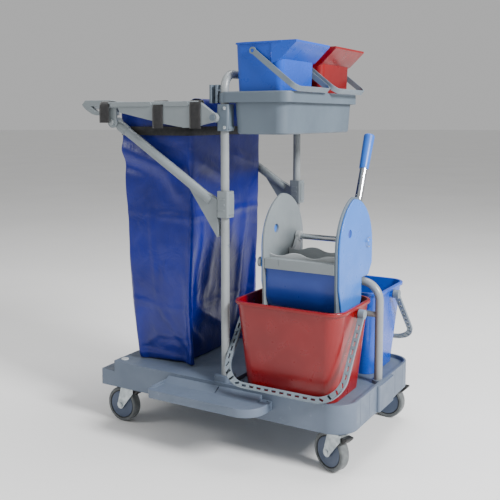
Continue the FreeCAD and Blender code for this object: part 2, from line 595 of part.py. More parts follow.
# ---- upper tray ----------------------------------------------------------------------
def upper_tray():
    """Deep drafted basin with a broad rim that the uprights pass through."""
    rim_low = TRAY_RIM_TOP - TRAY_RIM_DEPTH
    rim = slab(TRAY_LEFT, TRAY_RIGHT, -TRAY_HALF, TRAY_HALF, rim_low, TRAY_RIM_TOP, 28.0)
    rim = rim.makeFillet(4, [e for e in rim.Edges if all(v.Point.z > TRAY_RIM_TOP - 1 for v in e.Vertexes)])
    under = slab(TRAY_LEFT + TRAY_WALL, TRAY_RIGHT - TRAY_WALL, -TRAY_HALF + TRAY_WALL, TRAY_HALF - TRAY_WALL,
                 rim_low - CUT, TRAY_RIM_TOP - TRAY_WALL, 24.0)
    top = (BASIN_LEFT, BASIN_RIGHT, -BASIN_HALF, BASIN_HALF)
    low = grow(top, -SMALL_TAPER + 1)
    z0 = TRAY_RIM_TOP - TRAY_DEPTH
    basin = tub(low, top, z0, TRAY_RIM_TOP - 1, 26, 30)
    basin = basin.makeFillet(7, [e for e in basin.Edges if all(v.Point.z < z0 + 0.1 for v in e.Vertexes)])
    hollow = tub(grow(low, -TRAY_WALL), grow(top, -TRAY_WALL), TRAY_FLOOR, TRAY_RIM_TOP + 1, 22, 26)
    body = fuse([rim.cut(under), basin]).cut(hollow)
    sleeves = []
    seats = []
    for side in (-1, 1):
        y = side * UPRIGHT_Y
        sleeves.append(Part.makeCylinder(TUBE_RADIUS + 2.6, TRAY_RIM_DEPTH - 3, V(UPRIGHT_X, y, rim_low)))
        seats.append(Part.makeCylinder(TUBE_RADIUS, TRAY_RIM_DEPTH + 4, V(UPRIGHT_X, y, rim_low - 2)))
    return fuse([body] + sleeves).cut(Part.makeCompound(seats))


# ---- bucket arch ----------------------------------------------------------------------
def arch_points():
    """Corner points of the arch that stands between the two big buckets."""
    left, right = arch_feet()
    return [V(left, ARCH_Y, RECESS_FLOOR), V(left, ARCH_Y, ARCH_TOP),
            V(right, ARCH_Y, ARCH_TOP), V(right, ARCH_Y, RECESS_FLOOR)]


def bucket_arch_tube():
    """Arch bent from one tube."""
    return bent_tube(arch_points(), ARCH_BEND, TUBE_RADIUS, TUBE_WALL)


def arch_cross_rail():
    """Lower rail between the arch's legs, coped to their walls."""
    left, right = arch_feet()
    bar = rod(ARCH_RAIL_RADIUS, (left, ARCH_Y, ARCH_RAIL_Z), (right, ARCH_Y, ARCH_RAIL_Z))
    legs = []
    for x in (left, right):
        legs.append(rod(TUBE_RADIUS, (x, ARCH_Y, ARCH_RAIL_Z - 30), (x, ARCH_Y, ARCH_RAIL_Z + 30)))
    return bar.cut(Part.makeCompound(legs))


# ---- big buckets and their bails --------------------------------------------------------
def bucket_plan(middle_y, shrink):
    """Rectangle of a big bucket in plan, made smaller all round."""
    half_x = BUCKET_LENGTH / 2 - shrink
    half_y = BUCKET_WIDTH / 2 - shrink
    return (BUCKET_MIDDLE_X - half_x, BUCKET_MIDDLE_X + half_x, middle_y - half_y, middle_y + half_y)


def big_bucket(middle_y):
    """Tapered bucket with a rolled rim and a bored pad each side for its bail."""
    low = bucket_plan(middle_y, BUCKET_FLARE)
    high = bucket_plan(middle_y, RIM_ROLL)
    shell = tub(low, high, BUCKET_FLOOR, BUCKET_RIM, 30, 40)
    hollow = tub(grow(low, -BUCKET_WALL), grow(high, -BUCKET_WALL), BUCKET_FLOOR + BUCKET_WALL + 2,
                 BUCKET_RIM + 1, 27, 37)
    rim = slab(*bucket_plan(middle_y, 0), BUCKET_RIM - 9, BUCKET_RIM, 44.0)
    rim = rim.makeFillet(3, [e for e in rim.Edges if all(v.Point.z > BUCKET_RIM - 1 for v in e.Vertexes)])
    shape = fuse([shell, rim]).cut(hollow)
    pads = []
    bores = []
    for side in (-1, 1):
        face = BUCKET_MIDDLE_X + side * (BUCKET_LENGTH / 2 - RIM_ROLL - BUCKET_WALL - 2)
        pad = BUCKET_MIDDLE_X + side * (BUCKET_LENGTH / 2 - 0.2)
        pads.append(rod(BAIL_EYE_RADIUS, (face, middle_y, BAIL_PIVOT_Z), (pad, middle_y, BAIL_PIVOT_Z)))
        bores.append(rod(BAIL_STUD_RADIUS + MOVING_GAP, (face - side, middle_y, BAIL_PIVOT_Z),
                         (pad + side, middle_y, BAIL_PIVOT_Z)))
    return fuse([shape] + pads).cut(Part.makeCompound(bores))


def bail_marks(half, reach, bend, first, step):
    """Places and directions at equal steps along a flat U-shaped bail, in its own plane."""
    straight = reach - bend
    base = 2 * (half - bend)
    arc = math.pi / 2 * bend
    total = 2 * straight + 2 * arc + base
    marks = []
    count = int((total - 2 * first) / step)
    start = (total - count * step) / 2
    for i in range(count + 1):
        s = start + i * step
        if s < straight:
            marks.append((-half, -s, 90.0))
        elif s < straight + arc:
            turn = (s - straight) / bend
            marks.append((-half + bend - bend * math.cos(turn), -straight - bend * math.sin(turn),
                          90 + math.degrees(turn)))
        elif s < straight + arc + base:
            marks.append((-half + bend + s - straight - arc, -reach, 0.0))
        elif s < straight + 2 * arc + base:
            turn = (s - straight - arc - base) / bend
            marks.append((half - bend + bend * math.sin(turn), -reach + bend - bend * math.cos(turn),
                          math.degrees(turn)))
        else:
            marks.append((half, -(total - s), 90.0))
    return marks


def u_plate(half, reach, bend, thickness):
    """Solid U in the XZ plane, open at the top, centred on Y=0."""
    outer = [V(-half, -thickness / 2, 0), V(-half, -thickness / 2, -reach),
             V(half, -thickness / 2, -reach), V(half, -thickness / 2, 0)]
    path = bent_path(outer, bend)
    closing = Part.LineSegment(outer[-1], outer[0]).toShape()
    return Part.Face(Part.Wire(path.Edges + [closing])).extrude(V(0, thickness, 0))


def big_bail(middle_y, angle):
    """Flat moulded bail with a row of slots and a stud at each end for the bucket's pads."""
    half, band = BAIL_HALF, BAIL_BAND / 2
    bend = BAIL_BEND
    plate = u_plate(half + band, BAIL_REACH + band, bend + band, BAIL_THICKNESS)
    inside = u_plate(half - band, BAIL_REACH - band, bend - band, BAIL_THICKNESS + 2)
    bail = plate.cut(inside)
    slots = []
    for x, z, turn in bail_marks(half, BAIL_REACH, bend, 34, 21.5):
        slot = block(-6.5, 6.5, -BAIL_THICKNESS, BAIL_THICKNESS, -2.6, 2.6)
        slot.rotate(V(0, 0, 0), Y_AXIS, turn)
        slot.translate(V(x, 0, z))
        slots.append(slot)
    bail = bail.cut(Part.makeCompound(slots))
    ends = []
    for side in (-1, 1):
        ends.append(Part.makeCylinder(BAIL_EYE_RADIUS, BAIL_BAND, V(side * half - band, 0, 0), X_AXIS))
        tip = side * (BUCKET_LENGTH / 2 - RIM_ROLL - BUCKET_WALL)
        ends.append(rod(BAIL_STUD_RADIUS, (tip, 0, 0), (side * half, 0, 0)))
    bail = fuse([bail] + ends)
    bail.rotate(V(0, 0, 0), X_AXIS, angle)
    bail.translate(V(BUCKET_MIDDLE_X, middle_y, BAIL_PIVOT_Z))
    return bail


# ---- wringer -----------------------------------------------------------------------------
def wringer_outline(inset, floor):
    """Wire of the side plate in the YZ plane: upright front, round top, stepped back."""
    front = WRINGER_FRONT + inset
    back = WRINGER_BACK - inset
    top = WRINGER_TOP - inset
    shoulder = SHOULDER + inset
    neck = RED_RIM_BACK - 12 - inset
    crown_y = (WRINGER_FRONT + WRINGER_BACK) / 2 - 14
    points = [(front, floor + 90), (front, top - 140)]
    edges = [Part.LineSegment(V(0, *points[0]), V(0, *points[1])).toShape()]
    edges.append(Part.Arc(V(0, front, top - 140), V(0, front + 32, top - 42), V(0, crown_y, top)).toShape())
    edges.append(Part.Arc(V(0, crown_y, top), V(0, back - 33, top - 42), V(0, back, top - 125)).toShape())
    rest = [(back, top - 125), (back, shoulder + 30), (back - 24, shoulder), (neck, shoulder),
            (neck, BUCKET_RIM - 4), (neck - 24, floor), (front + 24, floor), (front, floor + 90)]
    for (y0, z0), (y1, z1) in zip(rest, rest[1:]):
        edges.append(Part.LineSegment(V(0, y0, z0), V(0, y1, z1)).toShape())
    return Part.Wire(edges)


def side_shape(x0, x1, inset, floor):
    """Side plate or cover between two x places, with the rod's hole."""
    face = Part.Face(wringer_outline(inset, floor))
    face.translate(V(x0, 0, 0))
    plate = face.extrude(V(x1 - x0, 0, 0))
    return plate.cut(rod(ROD_RADIUS + MOVING_GAP, (x0 - 1, ROD_Y, ROD_Z), (x1 + 1, ROD_Y, ROD_Z)))


def wringer_side(right):
    """Structural side plate with a round lightening hole."""
    x0 = INNER_RIGHT if right else INNER_LEFT - WRINGER_PLATE
    plate = side_shape(x0, x0 + WRINGER_PLATE, 0.0, WRINGER_FLOOR)
    return plate.cut(rod(12, (x0 - CUT, HOLE_Y, HOLE_Z), (x0 + WRINGER_PLATE + CUT, HOLE_Y, HOLE_Z)))


def wringer_cover(right):
    """Moulded outer cover with a shallow dimple over the side plate's hole."""
    x0 = INNER_RIGHT + WRINGER_PLATE if right else WRINGER_LEFT
    cover = side_shape(x0, x0 + COVER_THICKNESS, 5.0, WRINGER_FLOOR + 60)
    dimple = x0 + COVER_THICKNESS - 2.5 if right else x0 - 1
    return cover.cut(rod(11, (dimple, HOLE_Y, HOLE_Z), (dimple + 3.5, HOLE_Y, HOLE_Z)))


def wavy_sheet(y, z0, z1, thickness, x0, x1):
    """Upright sheet with a gently waved top edge."""
    steps = 4
    width = (x1 - x0) / steps
    lines = [Part.LineSegment(V(x0, y, z1), V(x0, y, z0)).toShape(),
             Part.LineSegment(V(x0, y, z0), V(x1, y, z0)).toShape(),
             Part.LineSegment(V(x1, y, z0), V(x1, y, z1)).toShape()]
    for i in range(steps, 0, -1):
        a = x0 + i * width
        b = a - width
        dip = -5 if i % 2 else 5
        lines.append(Part.Arc(V(a, y, z1), V((a + b) / 2, y, z1 + dip), V(b, y, z1)).toShape())
    return Part.Face(Part.Wire(lines)).extrude(V(0, thickness, 0))


def drain_holes(y0, y1, z_low, z_high):
    """Grid of drain holes through an upright sheet."""
    holes = []
    margin = 20.0
    columns = int((INNER_RIGHT - INNER_LEFT - 2 * margin) / 22) + 1
    pitch = (INNER_RIGHT - INNER_LEFT - 2 * margin) / (columns - 1)
    rows = int((z_high - z_low) / JAW_HOLE_PITCH) + 1
    for row in range(rows):
        z = z_low + row * JAW_HOLE_PITCH
        for column in range(columns):
            x = INNER_LEFT + margin + column * pitch
            holes.append(rod(JAW_HOLE_RADIUS, (x, y0, z), (x, y1, z)))
    return Part.makeCompound(holes)


def wringer_front_plate():
    """Fixed perforated jaw, bent at its foot into a drain floor."""
    front = WRINGER_FRONT + 30
    low = WRINGER_FLOOR + 2
    sheet = wavy_sheet(front, low, JAW_TOP, JAW_THICKNESS, INNER_LEFT, INNER_RIGHT)
    sheet = sheet.cut(drain_holes(front - 8, front + 12, low + 38, JAW_TOP - 41))
    floor = block(INNER_LEFT, INNER_RIGHT, front, front + 90, low, low + JAW_THICKNESS)
    return fuse([sheet, floor])


def wringer_front_panel():
    """Splash panel between the side plates, curved at its foot."""
    x0, x1 = INNER_LEFT, INNER_RIGHT
    front, back = WRINGER_FRONT + 9, WRINGER_FRONT + 27
    top, knee, foot = BAR_LOW - 1, BAR_LOW - 74, BAR_LOW - 101
    wall = 4
    outer = outline_yz([(front, top), (front, knee), (back - 5, foot), (back, foot), (back, top)], x0, x1)
    inner = outline_yz([(front + wall, top + CUT), (front + wall, knee + CUT), (back - 4, foot + 6),
                        (back + CUT, foot + 6), (back + CUT, top + CUT)], x0 + wall, x1 - wall)
    return outer.cut(inner)


def wringer_front_bar():
    """Grey bar across the front with a turn knob at its left end."""
    bar = slab(INNER_LEFT, INNER_RIGHT, WRINGER_FRONT, WRINGER_FRONT + 26, BAR_LOW, BAR_HIGH, 3.0)
    knob = rod(13, (WRINGER_LEFT - 9, BAR_Y, BAR_Z), (WRINGER_LEFT, BAR_Y, BAR_Z))
    return fuse([bar, knob, front_shaft()])


def front_shaft():
    """Shaft of the front bar, which passes through the left side plate and cover."""
    return rod(5, (WRINGER_LEFT - CUT, BAR_Y, BAR_Z), (INNER_LEFT + CUT, BAR_Y, BAR_Z))


def press_plate():
    """Moving perforated jaw that hangs from the rod on two arms."""
    x0, x1 = INNER_LEFT + CUT, INNER_RIGHT - CUT
    sheet = wavy_sheet(PRESS_Y, WRINGER_FLOOR + 32, JAW_TOP, JAW_THICKNESS, x0, x1)
    sheet = sheet.cut(drain_holes(PRESS_Y - 6, PRESS_Y + 14, WRINGER_FLOOR + 55, JAW_TOP - 36))
    sheet.rotate(V(0, PRESS_Y, JAW_TOP), X_AXIS, -8)
    pieces = [sheet]
    bush_length = 12
    for x in (INNER_LEFT + 3, INNER_RIGHT - 3 - bush_length):
        arm = outline_yz([(ROD_Y - 12, ROD_Z + 4), (ROD_Y + 12, ROD_Z - 4), (PRESS_Y, JAW_TOP - 91),
                          (PRESS_Y - 14, JAW_TOP - 96), (PRESS_Y, JAW_TOP - 16)], x + 2, x + 10)
        bush = rod(ROD_RADIUS + 7, (x, ROD_Y, ROD_Z), (x + bush_length, ROD_Y, ROD_Z))
        bore = rod(ROD_RADIUS + MOVING_GAP, (x - CUT, ROD_Y, ROD_Z), (x + bush_length + CUT, ROD_Y, ROD_Z))
        pieces.append(fuse([arm, bush]).cut(bore))
    return fuse(pieces)


def pivot_rod():
    """Cross rod with a bolt head outside each cover."""
    left, right = WRINGER_LEFT - 6, WRINGER_RIGHT + 6
    bar = rod(ROD_RADIUS, (left, ROD_Y, ROD_Z), (right, ROD_Y, ROD_Z))
    heads = [rod(ROD_RADIUS + 5, (left, ROD_Y, ROD_Z), (WRINGER_LEFT - MOVING_GAP, ROD_Y, ROD_Z)),
             rod(ROD_RADIUS + 5, (WRINGER_RIGHT + MOVING_GAP, ROD_Y, ROD_Z), (right, ROD_Y, ROD_Z))]
    return fuse([bar] + heads)


def lever_point(distance):
    """Point along the lever from the rod's axis."""
    tilt = math.radians(LEVER_TILT)
    return V(LEVER_X, ROD_Y + distance * math.sin(tilt), ROD_Z + distance * math.cos(tilt))


def lever_tube():
    """Lever tube with a welded boss round the cross rod."""
    tube = rod(LEVER_RADIUS, lever_point(10), lever_point(LEVER_LENGTH - 5))
    boss = rod(ROD_RADIUS + 9, (LEVER_X - 14, ROD_Y, ROD_Z), (LEVER_X + 14, ROD_Y, ROD_Z))
    bore = rod(ROD_RADIUS, (LEVER_X - 15, ROD_Y, ROD_Z), (LEVER_X + 15, ROD_Y, ROD_Z))
    return fuse([tube, boss]).cut(bore)


def lever_grip():
    """Moulded grip that tapers towards its lower end."""
    low = lever_point(LEVER_LENGTH - GRIP_LENGTH)
    high = lever_point(LEVER_LENGTH)
    run = high.sub(low)
    grip = Part.makeCone(LEVER_RADIUS + 2, LEVER_RADIUS + 4, GRIP_LENGTH, low, run)
    tip = [e for e in grip.Edges if len(e.Vertexes) == 1 and e.Curve.Radius > LEVER_RADIUS + 3]
    return grip.makeFillet(5, tip).cut(rod(LEVER_RADIUS, lever_point(0), lever_point(LEVER_LENGTH - 5)))


# ---- small buckets -------------------------------------------------------------------------
def small_plan(colour, shrink):
    """Rectangle of a small bucket's body in plan at its rim."""
    left = SMALL_LEFT[colour]
    side = SMALL_SIDE[colour]
    near, far = side * BUCKET_SPLIT, side * (BUCKET_SPLIT + SMALL_BUCKET_WIDTH)
    return (left + shrink, left + SMALL_BUCKET_LENGTH - shrink,
            min(near, far) + shrink, max(near, far) - shrink)


def small_bucket(colour):
    """Drafted bucket whose right wall flares into a full-width pouring lip."""
    taper, wall = SMALL_TAPER, SMALL_BUCKET_WALL
    x0, x1, y0, y1 = small_plan(colour, 0)
    shell = tub(small_plan(colour, taper), (x0, x1, y0, y1), TRAY_FLOOR, SMALL_RIM, 16, 18)
    hollow = tub(small_plan(colour, taper + wall), small_plan(colour, wall),
                 TRAY_FLOOR + wall, SMALL_RIM + CUT, 13, 15)
    rim = slab(x0 - 3, x1, y0 - 3, y1 + 3, SMALL_RIM - 4, SMALL_RIM, (20.0, 1.0, 1.0, 20.0))
    spout_root = SMALL_RIM - 44
    outer = [(x1 - 30, SMALL_RIM), (x1 - 30, spout_root - 12), (x1 - 1.5, spout_root),
             (x1 + SPOUT_REACH, SMALL_RIM - 5), (x1 + SPOUT_REACH, SMALL_RIM)]
    inner = [(x1 - 34, SMALL_RIM + 1), (x1 - 34, spout_root - 2), (x1 - 5, spout_root + 5),
             (x1 + SPOUT_REACH - 2, SMALL_RIM + 1)]
    spout = outline_xz(outer, y0 - 2, y1 + 2)
    shape = fuse([shell, rim, spout]).cut(hollow).cut(outline_xz(inner, y0 + wall - 2, y1 - wall + 2))
    pivot = small_pivot_x(colour)
    studs = []
    for y, out in ((y0 + 2.5, -10), (y1 - 2.5, 10)):
        studs.append(rod(SMALL_STUD_RADIUS, (pivot, y, SMALL_PIVOT_Z), (pivot, y + out, SMALL_PIVOT_Z)))
    return fuse([shape] + studs)


def small_pivot_x(colour):
    """Where a small bucket's bail hangs along its length."""
    return SMALL_LEFT[colour] + SMALL_BUCKET_LENGTH / 2 - 11.5


def small_bail(colour):
    """Flat grey bail of a small bucket, resting forward over the tray's rim."""
    y0, y1 = small_plan(colour, 0)[2:]
    band, thick = 7.0, 4.0
    half = (y1 - y0) / 2 + 3.6 + thick / 2
    outer = [V(0, -half - thick / 2, 0), V(0, -half - thick / 2, -SMALL_BAIL_REACH - thick / 2),
             V(0, half + thick / 2, -SMALL_BAIL_REACH - thick / 2), V(0, half + thick / 2, 0)]
    inner = [V(0, -half + thick / 2, 0), V(0, -half + thick / 2, -SMALL_BAIL_REACH + thick / 2),
             V(0, half - thick / 2, -SMALL_BAIL_REACH + thick / 2), V(0, half - thick / 2, 0)]
    faces = []
    for points, bend in ((outer, 24.0), (inner, 20.0)):
        path = bent_path(points, bend)
        closing = Part.LineSegment(points[-1], points[0]).toShape()
        face = Part.Face(Part.Wire(path.Edges + [closing]))
        face.translate(V(-band, 0, 0))
        faces.append(face.extrude(V(2 * band, 0, 0)))
    bail = faces[0].cut(faces[1])
    eyes = [Part.makeCylinder(9, thick, V(0, y, 0), Y_AXIS) for y in (-half - thick / 2, half - thick / 2)]
    bore = Part.makeCylinder(SMALL_STUD_RADIUS + MOVING_GAP, 2 * half + 20, V(0, -half - 10, 0), Y_AXIS)
    bail = fuse([bail] + eyes).cut(bore)
    bail.rotate(V(0, 0, 0), Y_AXIS, -(90 - SMALL_BAIL_HANG))
    bail.translate(V(small_pivot_x(colour), (y0 + y1) / 2, SMALL_PIVOT_Z))
    return bail


# ---- bag frame --------------------------------------------------------------------------------
def bag_ring():
    """Moulded ring that the bag hangs on, with side rails that reach the fold pins."""
    top, flange = RING_TOP, RING_TOP - RING_FLANGE
    half_bar = RING_BAR / 2
    right = CROSSBAR_X + half_bar
    plate = slab(RING_LEFT, right, -RAIL_OUTER, RAIL_OUTER, flange, top, (50.0, 6.0, 6.0, 50.0))
    plate = plate.makeFillet(3, [e for e in plate.Edges if all(v.Point.z > top - 1 for v in e.Vertexes)])
    hole = slab(RING_LEFT + 28, CROSSBAR_X - half_bar, -UPRIGHT_Y, UPRIGHT_Y, flange - CUT, top + CUT, 24.0)
    body = plate.cut(hole)
    pieces = [body]
    for side in (-1, 1):
        y0 = min(side * (RAIL_OUTER - 4), side * RAIL_OUTER)
        skirt = outline_xz([(RING_LEFT + 70, flange + CUT), (RING_LEFT + 78, flange - 14),
                            (CROSSBAR_X - 60, RING_BOTTOM + 9), (right - 30, RING_BOTTOM + 2),
                            (right, RING_BOTTOM), (right, flange + CUT)], y0, y0 + 4)
        rail_y = min(side * RAIL_INNER, side * RAIL_OUTER)
        rail = outline_xz([(right - 20, top), (right - 20, RING_BOTTOM), (right + 5, RING_BOTTOM),
                           (FOLD_X - 4, FOLD_Z - 12), (FOLD_X, FOLD_Z + 12), (right + 30, top)],
                          rail_y, rail_y + RAIL_OUTER - RAIL_INNER)
        eye = Part.makeCylinder(12, RAIL_OUTER - RAIL_INNER, V(FOLD_X, rail_y, FOLD_Z), Y_AXIS)
        cheek_y = side * (ARM_Y + ARM_RADIUS + 1)
        cheek = min(cheek_y, cheek_y + side * 6)
        lug = fuse([block(LUG_X - 15, LUG_X + 15, cheek, cheek + 6, LUG_Z, flange + 1),
                    Part.makeCylinder(15, 6, V(LUG_X, cheek, LUG_Z), Y_AXIS)])
        pieces += [skirt, rail, eye, lug]
    ring = fuse(pieces)
    bores = []
    for side in (-1, 1):
        bores.append(rod(FOLD_PIN_RADIUS + MOVING_GAP, (FOLD_X, side * (RAIL_INNER - 2), FOLD_Z),
                         (FOLD_X, side * (RAIL_OUTER + 2), FOLD_Z)))
        bores.append(rod(ARM_PIN_RADIUS, (LUG_X, side * ARM_Y, LUG_Z), (LUG_X, side * (RAIL_OUTER + 5), LUG_Z)))
    return ring.cut(Part.makeCompound(bores))


def arm_pins():
    """Bolts that the support arms turn on, held in the ring's lugs."""
    pins = []
    inner = ARM_Y - ARM_RADIUS
    outer = ARM_Y + ARM_RADIUS + 7
    for side in (-1, 1):
        pin = rod(ARM_PIN_RADIUS, (LUG_X, side * inner, LUG_Z), (LUG_X, side * outer, LUG_Z))
        head = rod(ARM_PIN_RADIUS + 3.5, (LUG_X, side * outer, LUG_Z), (LUG_X, side * (outer + 4), LUG_Z))
        cap = rod(ARM_PIN_RADIUS + 3.5, (LUG_X, side * (inner - 2.5), LUG_Z), (LUG_X, side * inner, LUG_Z))
        pins.append(fuse([pin, head, cap]))
    return Part.makeCompound(pins)


def push_handle():
    """Push bar on two looped brackets at the ring's end."""
    top = RING_TOP + 8
    low = RING_TOP - 36
    grip_x = HANDLE_END + GRIP_RADIUS
    middle = top - GRIP_RADIUS
    grip = rod(GRIP_RADIUS, (grip_x, -HANDLE_HALF, middle), (grip_x, HANDLE_HALF, middle))
    pieces = [grip]
    for side in (-1, 1):
        y0 = side * HANDLE_HALF - 8
        loop = outline_xz([(RING_LEFT, top - 8), (RING_LEFT - 20, top), (grip_x, top), (HANDLE_END, middle),
                           (grip_x, middle - GRIP_RADIUS), (grip_x + 25, low + 4), (grip_x + 42, low),
                           (RING_LEFT, low)], y0, y0 + 16)
        window = outline_xz([(RING_LEFT - 14, top - 18), (grip_x + 22, top - 18), (grip_x + 40, low + 12),
                             (RING_LEFT - 14, low + 12)], y0 - 1, y0 + 17)
        pieces.append(loop.cut(window))
    bridge = block(RING_LEFT - 8, RING_LEFT, -HANDLE_HALF - 8, HANDLE_HALF + 8,
                   RING_TOP - RING_FLANGE, RING_TOP)
    return fuse(pieces + [bridge])


def bag_straps():
    """Elastic straps that hold the bag to the ring, wrapped over its flange."""
    straps = []
    t, gap = STRAP_THICKNESS, STRAP_GAP
    for x in STRAP_PLACES:
        at_corner = x < RING_LEFT + 60
        inner = RAIL_INNER if x > CROSSBAR_X else UPRIGHT_Y
        x0, x1 = x - STRAP_WIDTH / 2, x + STRAP_WIDTH / 2
        low = RING_BOTTOM + 12 if at_corner else RING_BOTTOM - 2
        over = block(x0, x1, inner - gap - t, RAIL_OUTER + gap + t, RING_TOP + gap, RING_TOP + gap + t)
        outside = block(x0, x1, RAIL_OUTER + gap, RAIL_OUTER + gap + t, low, RING_TOP + gap + t)
        pieces = [over, outside]
        if not at_corner:
            pieces.append(block(x0, x1, inner - gap - t, inner - gap, low + 34, RING_TOP + gap + t))
        straps.append(fuse(pieces))
    return Part.makeCompound([both_sides(strap) for strap in straps])


def bag_plan(left, shrink):
    """Rectangle of the bag in plan."""
    return (left + shrink, BAG_RIGHT - shrink, -BAG_HALF + shrink, BAG_HALF - shrink)


def bag():
    """Open-topped sack that hangs inside the ring and just clears the deck."""
    floor = PLATFORM_TOP + 1.0
    shell = tub(bag_plan(BAG_LEFT_BOTTOM, 0), bag_plan(BAG_LEFT_TOP, 0), floor, BAG_TOP, 20, 24)
    hollow = tub(bag_plan(BAG_LEFT_BOTTOM, BAG_WALL), bag_plan(BAG_LEFT_TOP, BAG_WALL), floor + BAG_WALL,
                 BAG_TOP + 1, 16, 20)
    return shell.cut(hollow)


def bag_cuff():
    """Top of the bag: stands up inside the ring and folds over its crossbar."""
    half = BAG_HALF - 16
    t = BAG_WALL
    bar0, bar1 = CROSSBAR_X - RING_BAR / 2, CROSSBAR_X + RING_BAR / 2
    wall = slab(BAG_LEFT_TOP, BAG_RIGHT - 6, -BAG_HALF, BAG_HALF, BAG_TOP, RING_TOP - RING_FLANGE - 1, 24.0)
    wall = wall.cut(slab(BAG_LEFT_TOP + t, BAG_RIGHT - 6 - t, -BAG_HALF + t, BAG_HALF - t,
                         BAG_TOP - CUT, RING_TOP, 20.0))
    riser = block(bar0 - 1 - t, bar0 - 1, -half, half, BAG_TOP, RING_TOP + 1 + t)
    over = block(bar0 - 1 - t, bar1 + 1 + t, -half, half, RING_TOP + 1, RING_TOP + 1 + t)
    drop = block(bar1 + 1, bar1 + 1 + t, -half, half, RING_TOP - 50, RING_TOP + 1 + t)
    return fuse([wall, riser, over, drop])


def support_arm():
    """Round arm with a ribbed collar above and a triangular gusset below."""
    top = V(LUG_X, ARM_Y, LUG_Z)
    low = V(ARM_FOOT_X, ARM_Y, CLAMP_MIDDLE)
    along = low.sub(top).normalize()
    tube = rod(ARM_RADIUS, top.add(V(along).multiply(8)), low.sub(V(along).multiply(14)))
    eye = rod(ARM_PIN_RADIUS + 9, (LUG_X, ARM_Y - ARM_RADIUS + MOVING_GAP, LUG_Z),
              (LUG_X, ARM_Y + ARM_RADIUS + 0.5, LUG_Z))
    collar = rod(ARM_RADIUS + 1.5, top.add(V(along).multiply(16)), top.add(V(along).multiply(46)))
    right = UPRIGHT_X - TUBE_RADIUS - CLAMP_WALL - MOVING_GAP
    stop = block(right, UPRIGHT_X, ARM_Y - 30, ARM_Y + 30, CLAMP_MIDDLE - 36, CLAMP_MIDDLE + 60)
    tip = low.sub(V(along).multiply(111))
    gusset = outline_xz([(tip.x, tip.z), (right - 22, CLAMP_MIDDLE + 24), (right, CLAMP_MIDDLE + 12),
                         (right, CLAMP_MIDDLE - 36), (right + 3, CLAMP_MIDDLE - 40),
                         (right + 3, CLAMP_MIDDLE - 84), (right, CLAMP_MIDDLE - 87),
                         (right - 48, CLAMP_MIDDLE - 18)], ARM_Y - 7, ARM_Y + 7)
    arm = fuse([tube, eye, collar, gusset]).cut(stop)
    return arm.cut(rod(ARM_PIN_RADIUS + MOVING_GAP, (LUG_X, ARM_Y - 20, LUG_Z), (LUG_X, ARM_Y + 20, LUG_Z)))


# ---- build everything ---------------------------------------------------------------------------
def build():
    """Make every sub-part and write it."""
    os.makedirs("parts", exist_ok=True)
    save("platform", platform())
    save("deck_plug", deck_plug())
    save("front_shelf", front_shelf())
    save("caster_heads", caster_heads())
    for name in CASTER_PLACES:
        save("caster_fork_" + name, caster_piece(name, caster_fork()))
        save("caster_axle_" + name, caster_piece(name, caster_axle()))
        save("caster_guard_" + name, caster_piece(name, caster_guard()))
        save("wheel_hub_" + name, caster_piece(name, wheel_hub()))
        save("wheel_tyre_" + name, caster_piece(name, wheel_tyre()))
    save("portal_tube", portal_tube())
    save("height_buttons", height_buttons())
    save("arm_clamps", arm_clamps())
    save("hinge_brackets", hinge_brackets())
    save("top_bar_clip", top_bar_clip())
    save("upper_tray", upper_tray())
    save("bucket_arch_tube", bucket_arch_tube())
    save("arch_cross_rail", arch_cross_rail())
    save("red_bucket", big_bucket(RED_MIDDLE_Y))
    save("blue_bucket", big_bucket(BLUE_MIDDLE_Y))
    save("red_bail", big_bail(RED_MIDDLE_Y, -RED_BAIL_ANGLE))
    save("blue_bail", big_bail(BLUE_MIDDLE_Y, BLUE_BAIL_ANGLE))
    hole = front_shaft()
    save("wringer_side_right", wringer_side(True))
    save("wringer_side_left", wringer_side(False).cut(hole))
    save("wringer_cover_right", wringer_cover(True))
    save("wringer_cover_left", wringer_cover(False).cut(hole))
    save("wringer_front_plate", wringer_front_plate())
    save("wringer_front_panel", wringer_front_panel())
    save("wringer_front_bar", wringer_front_bar())
    save("press_plate", press_plate())
    save("pivot_rod", pivot_rod())
    save("lever_tube", lever_tube())
    save("lever_grip", lever_grip())
    for colour in SMALL_LEFT:
        save("small_bucket_" + colour, small_bucket(colour))
        save("small_bail_" + colour, small_bail(colour))
    save("bag_ring", bag_ring())
    save("arm_pins", arm_pins())
    save("push_handle", push_handle())
    save("bag_straps", bag_straps())
    save("bag", bag())
    save("bag_cuff", bag_cuff())
    save("support_arm_rear", support_arm())
    save("support_arm_front", support_arm().mirror(V(0, 0, 0), Y_AXIS))


build()
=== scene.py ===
# %% [markdown]
# A janitor's cleaning trolley: a moulded deck on casters, a bent tube portal, two mop buckets with a
# press wringer, a tray with two small buckets and a folding ring that holds an open waste bag.
# The frame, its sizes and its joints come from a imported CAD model, which is never moved. This lesson
# gives every piece its finish, rounds the edges that a mould leaves soft, and makes the fabric.

# %% Load the frame
import bmesh
import bpy
import json
import math
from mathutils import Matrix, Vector, noise

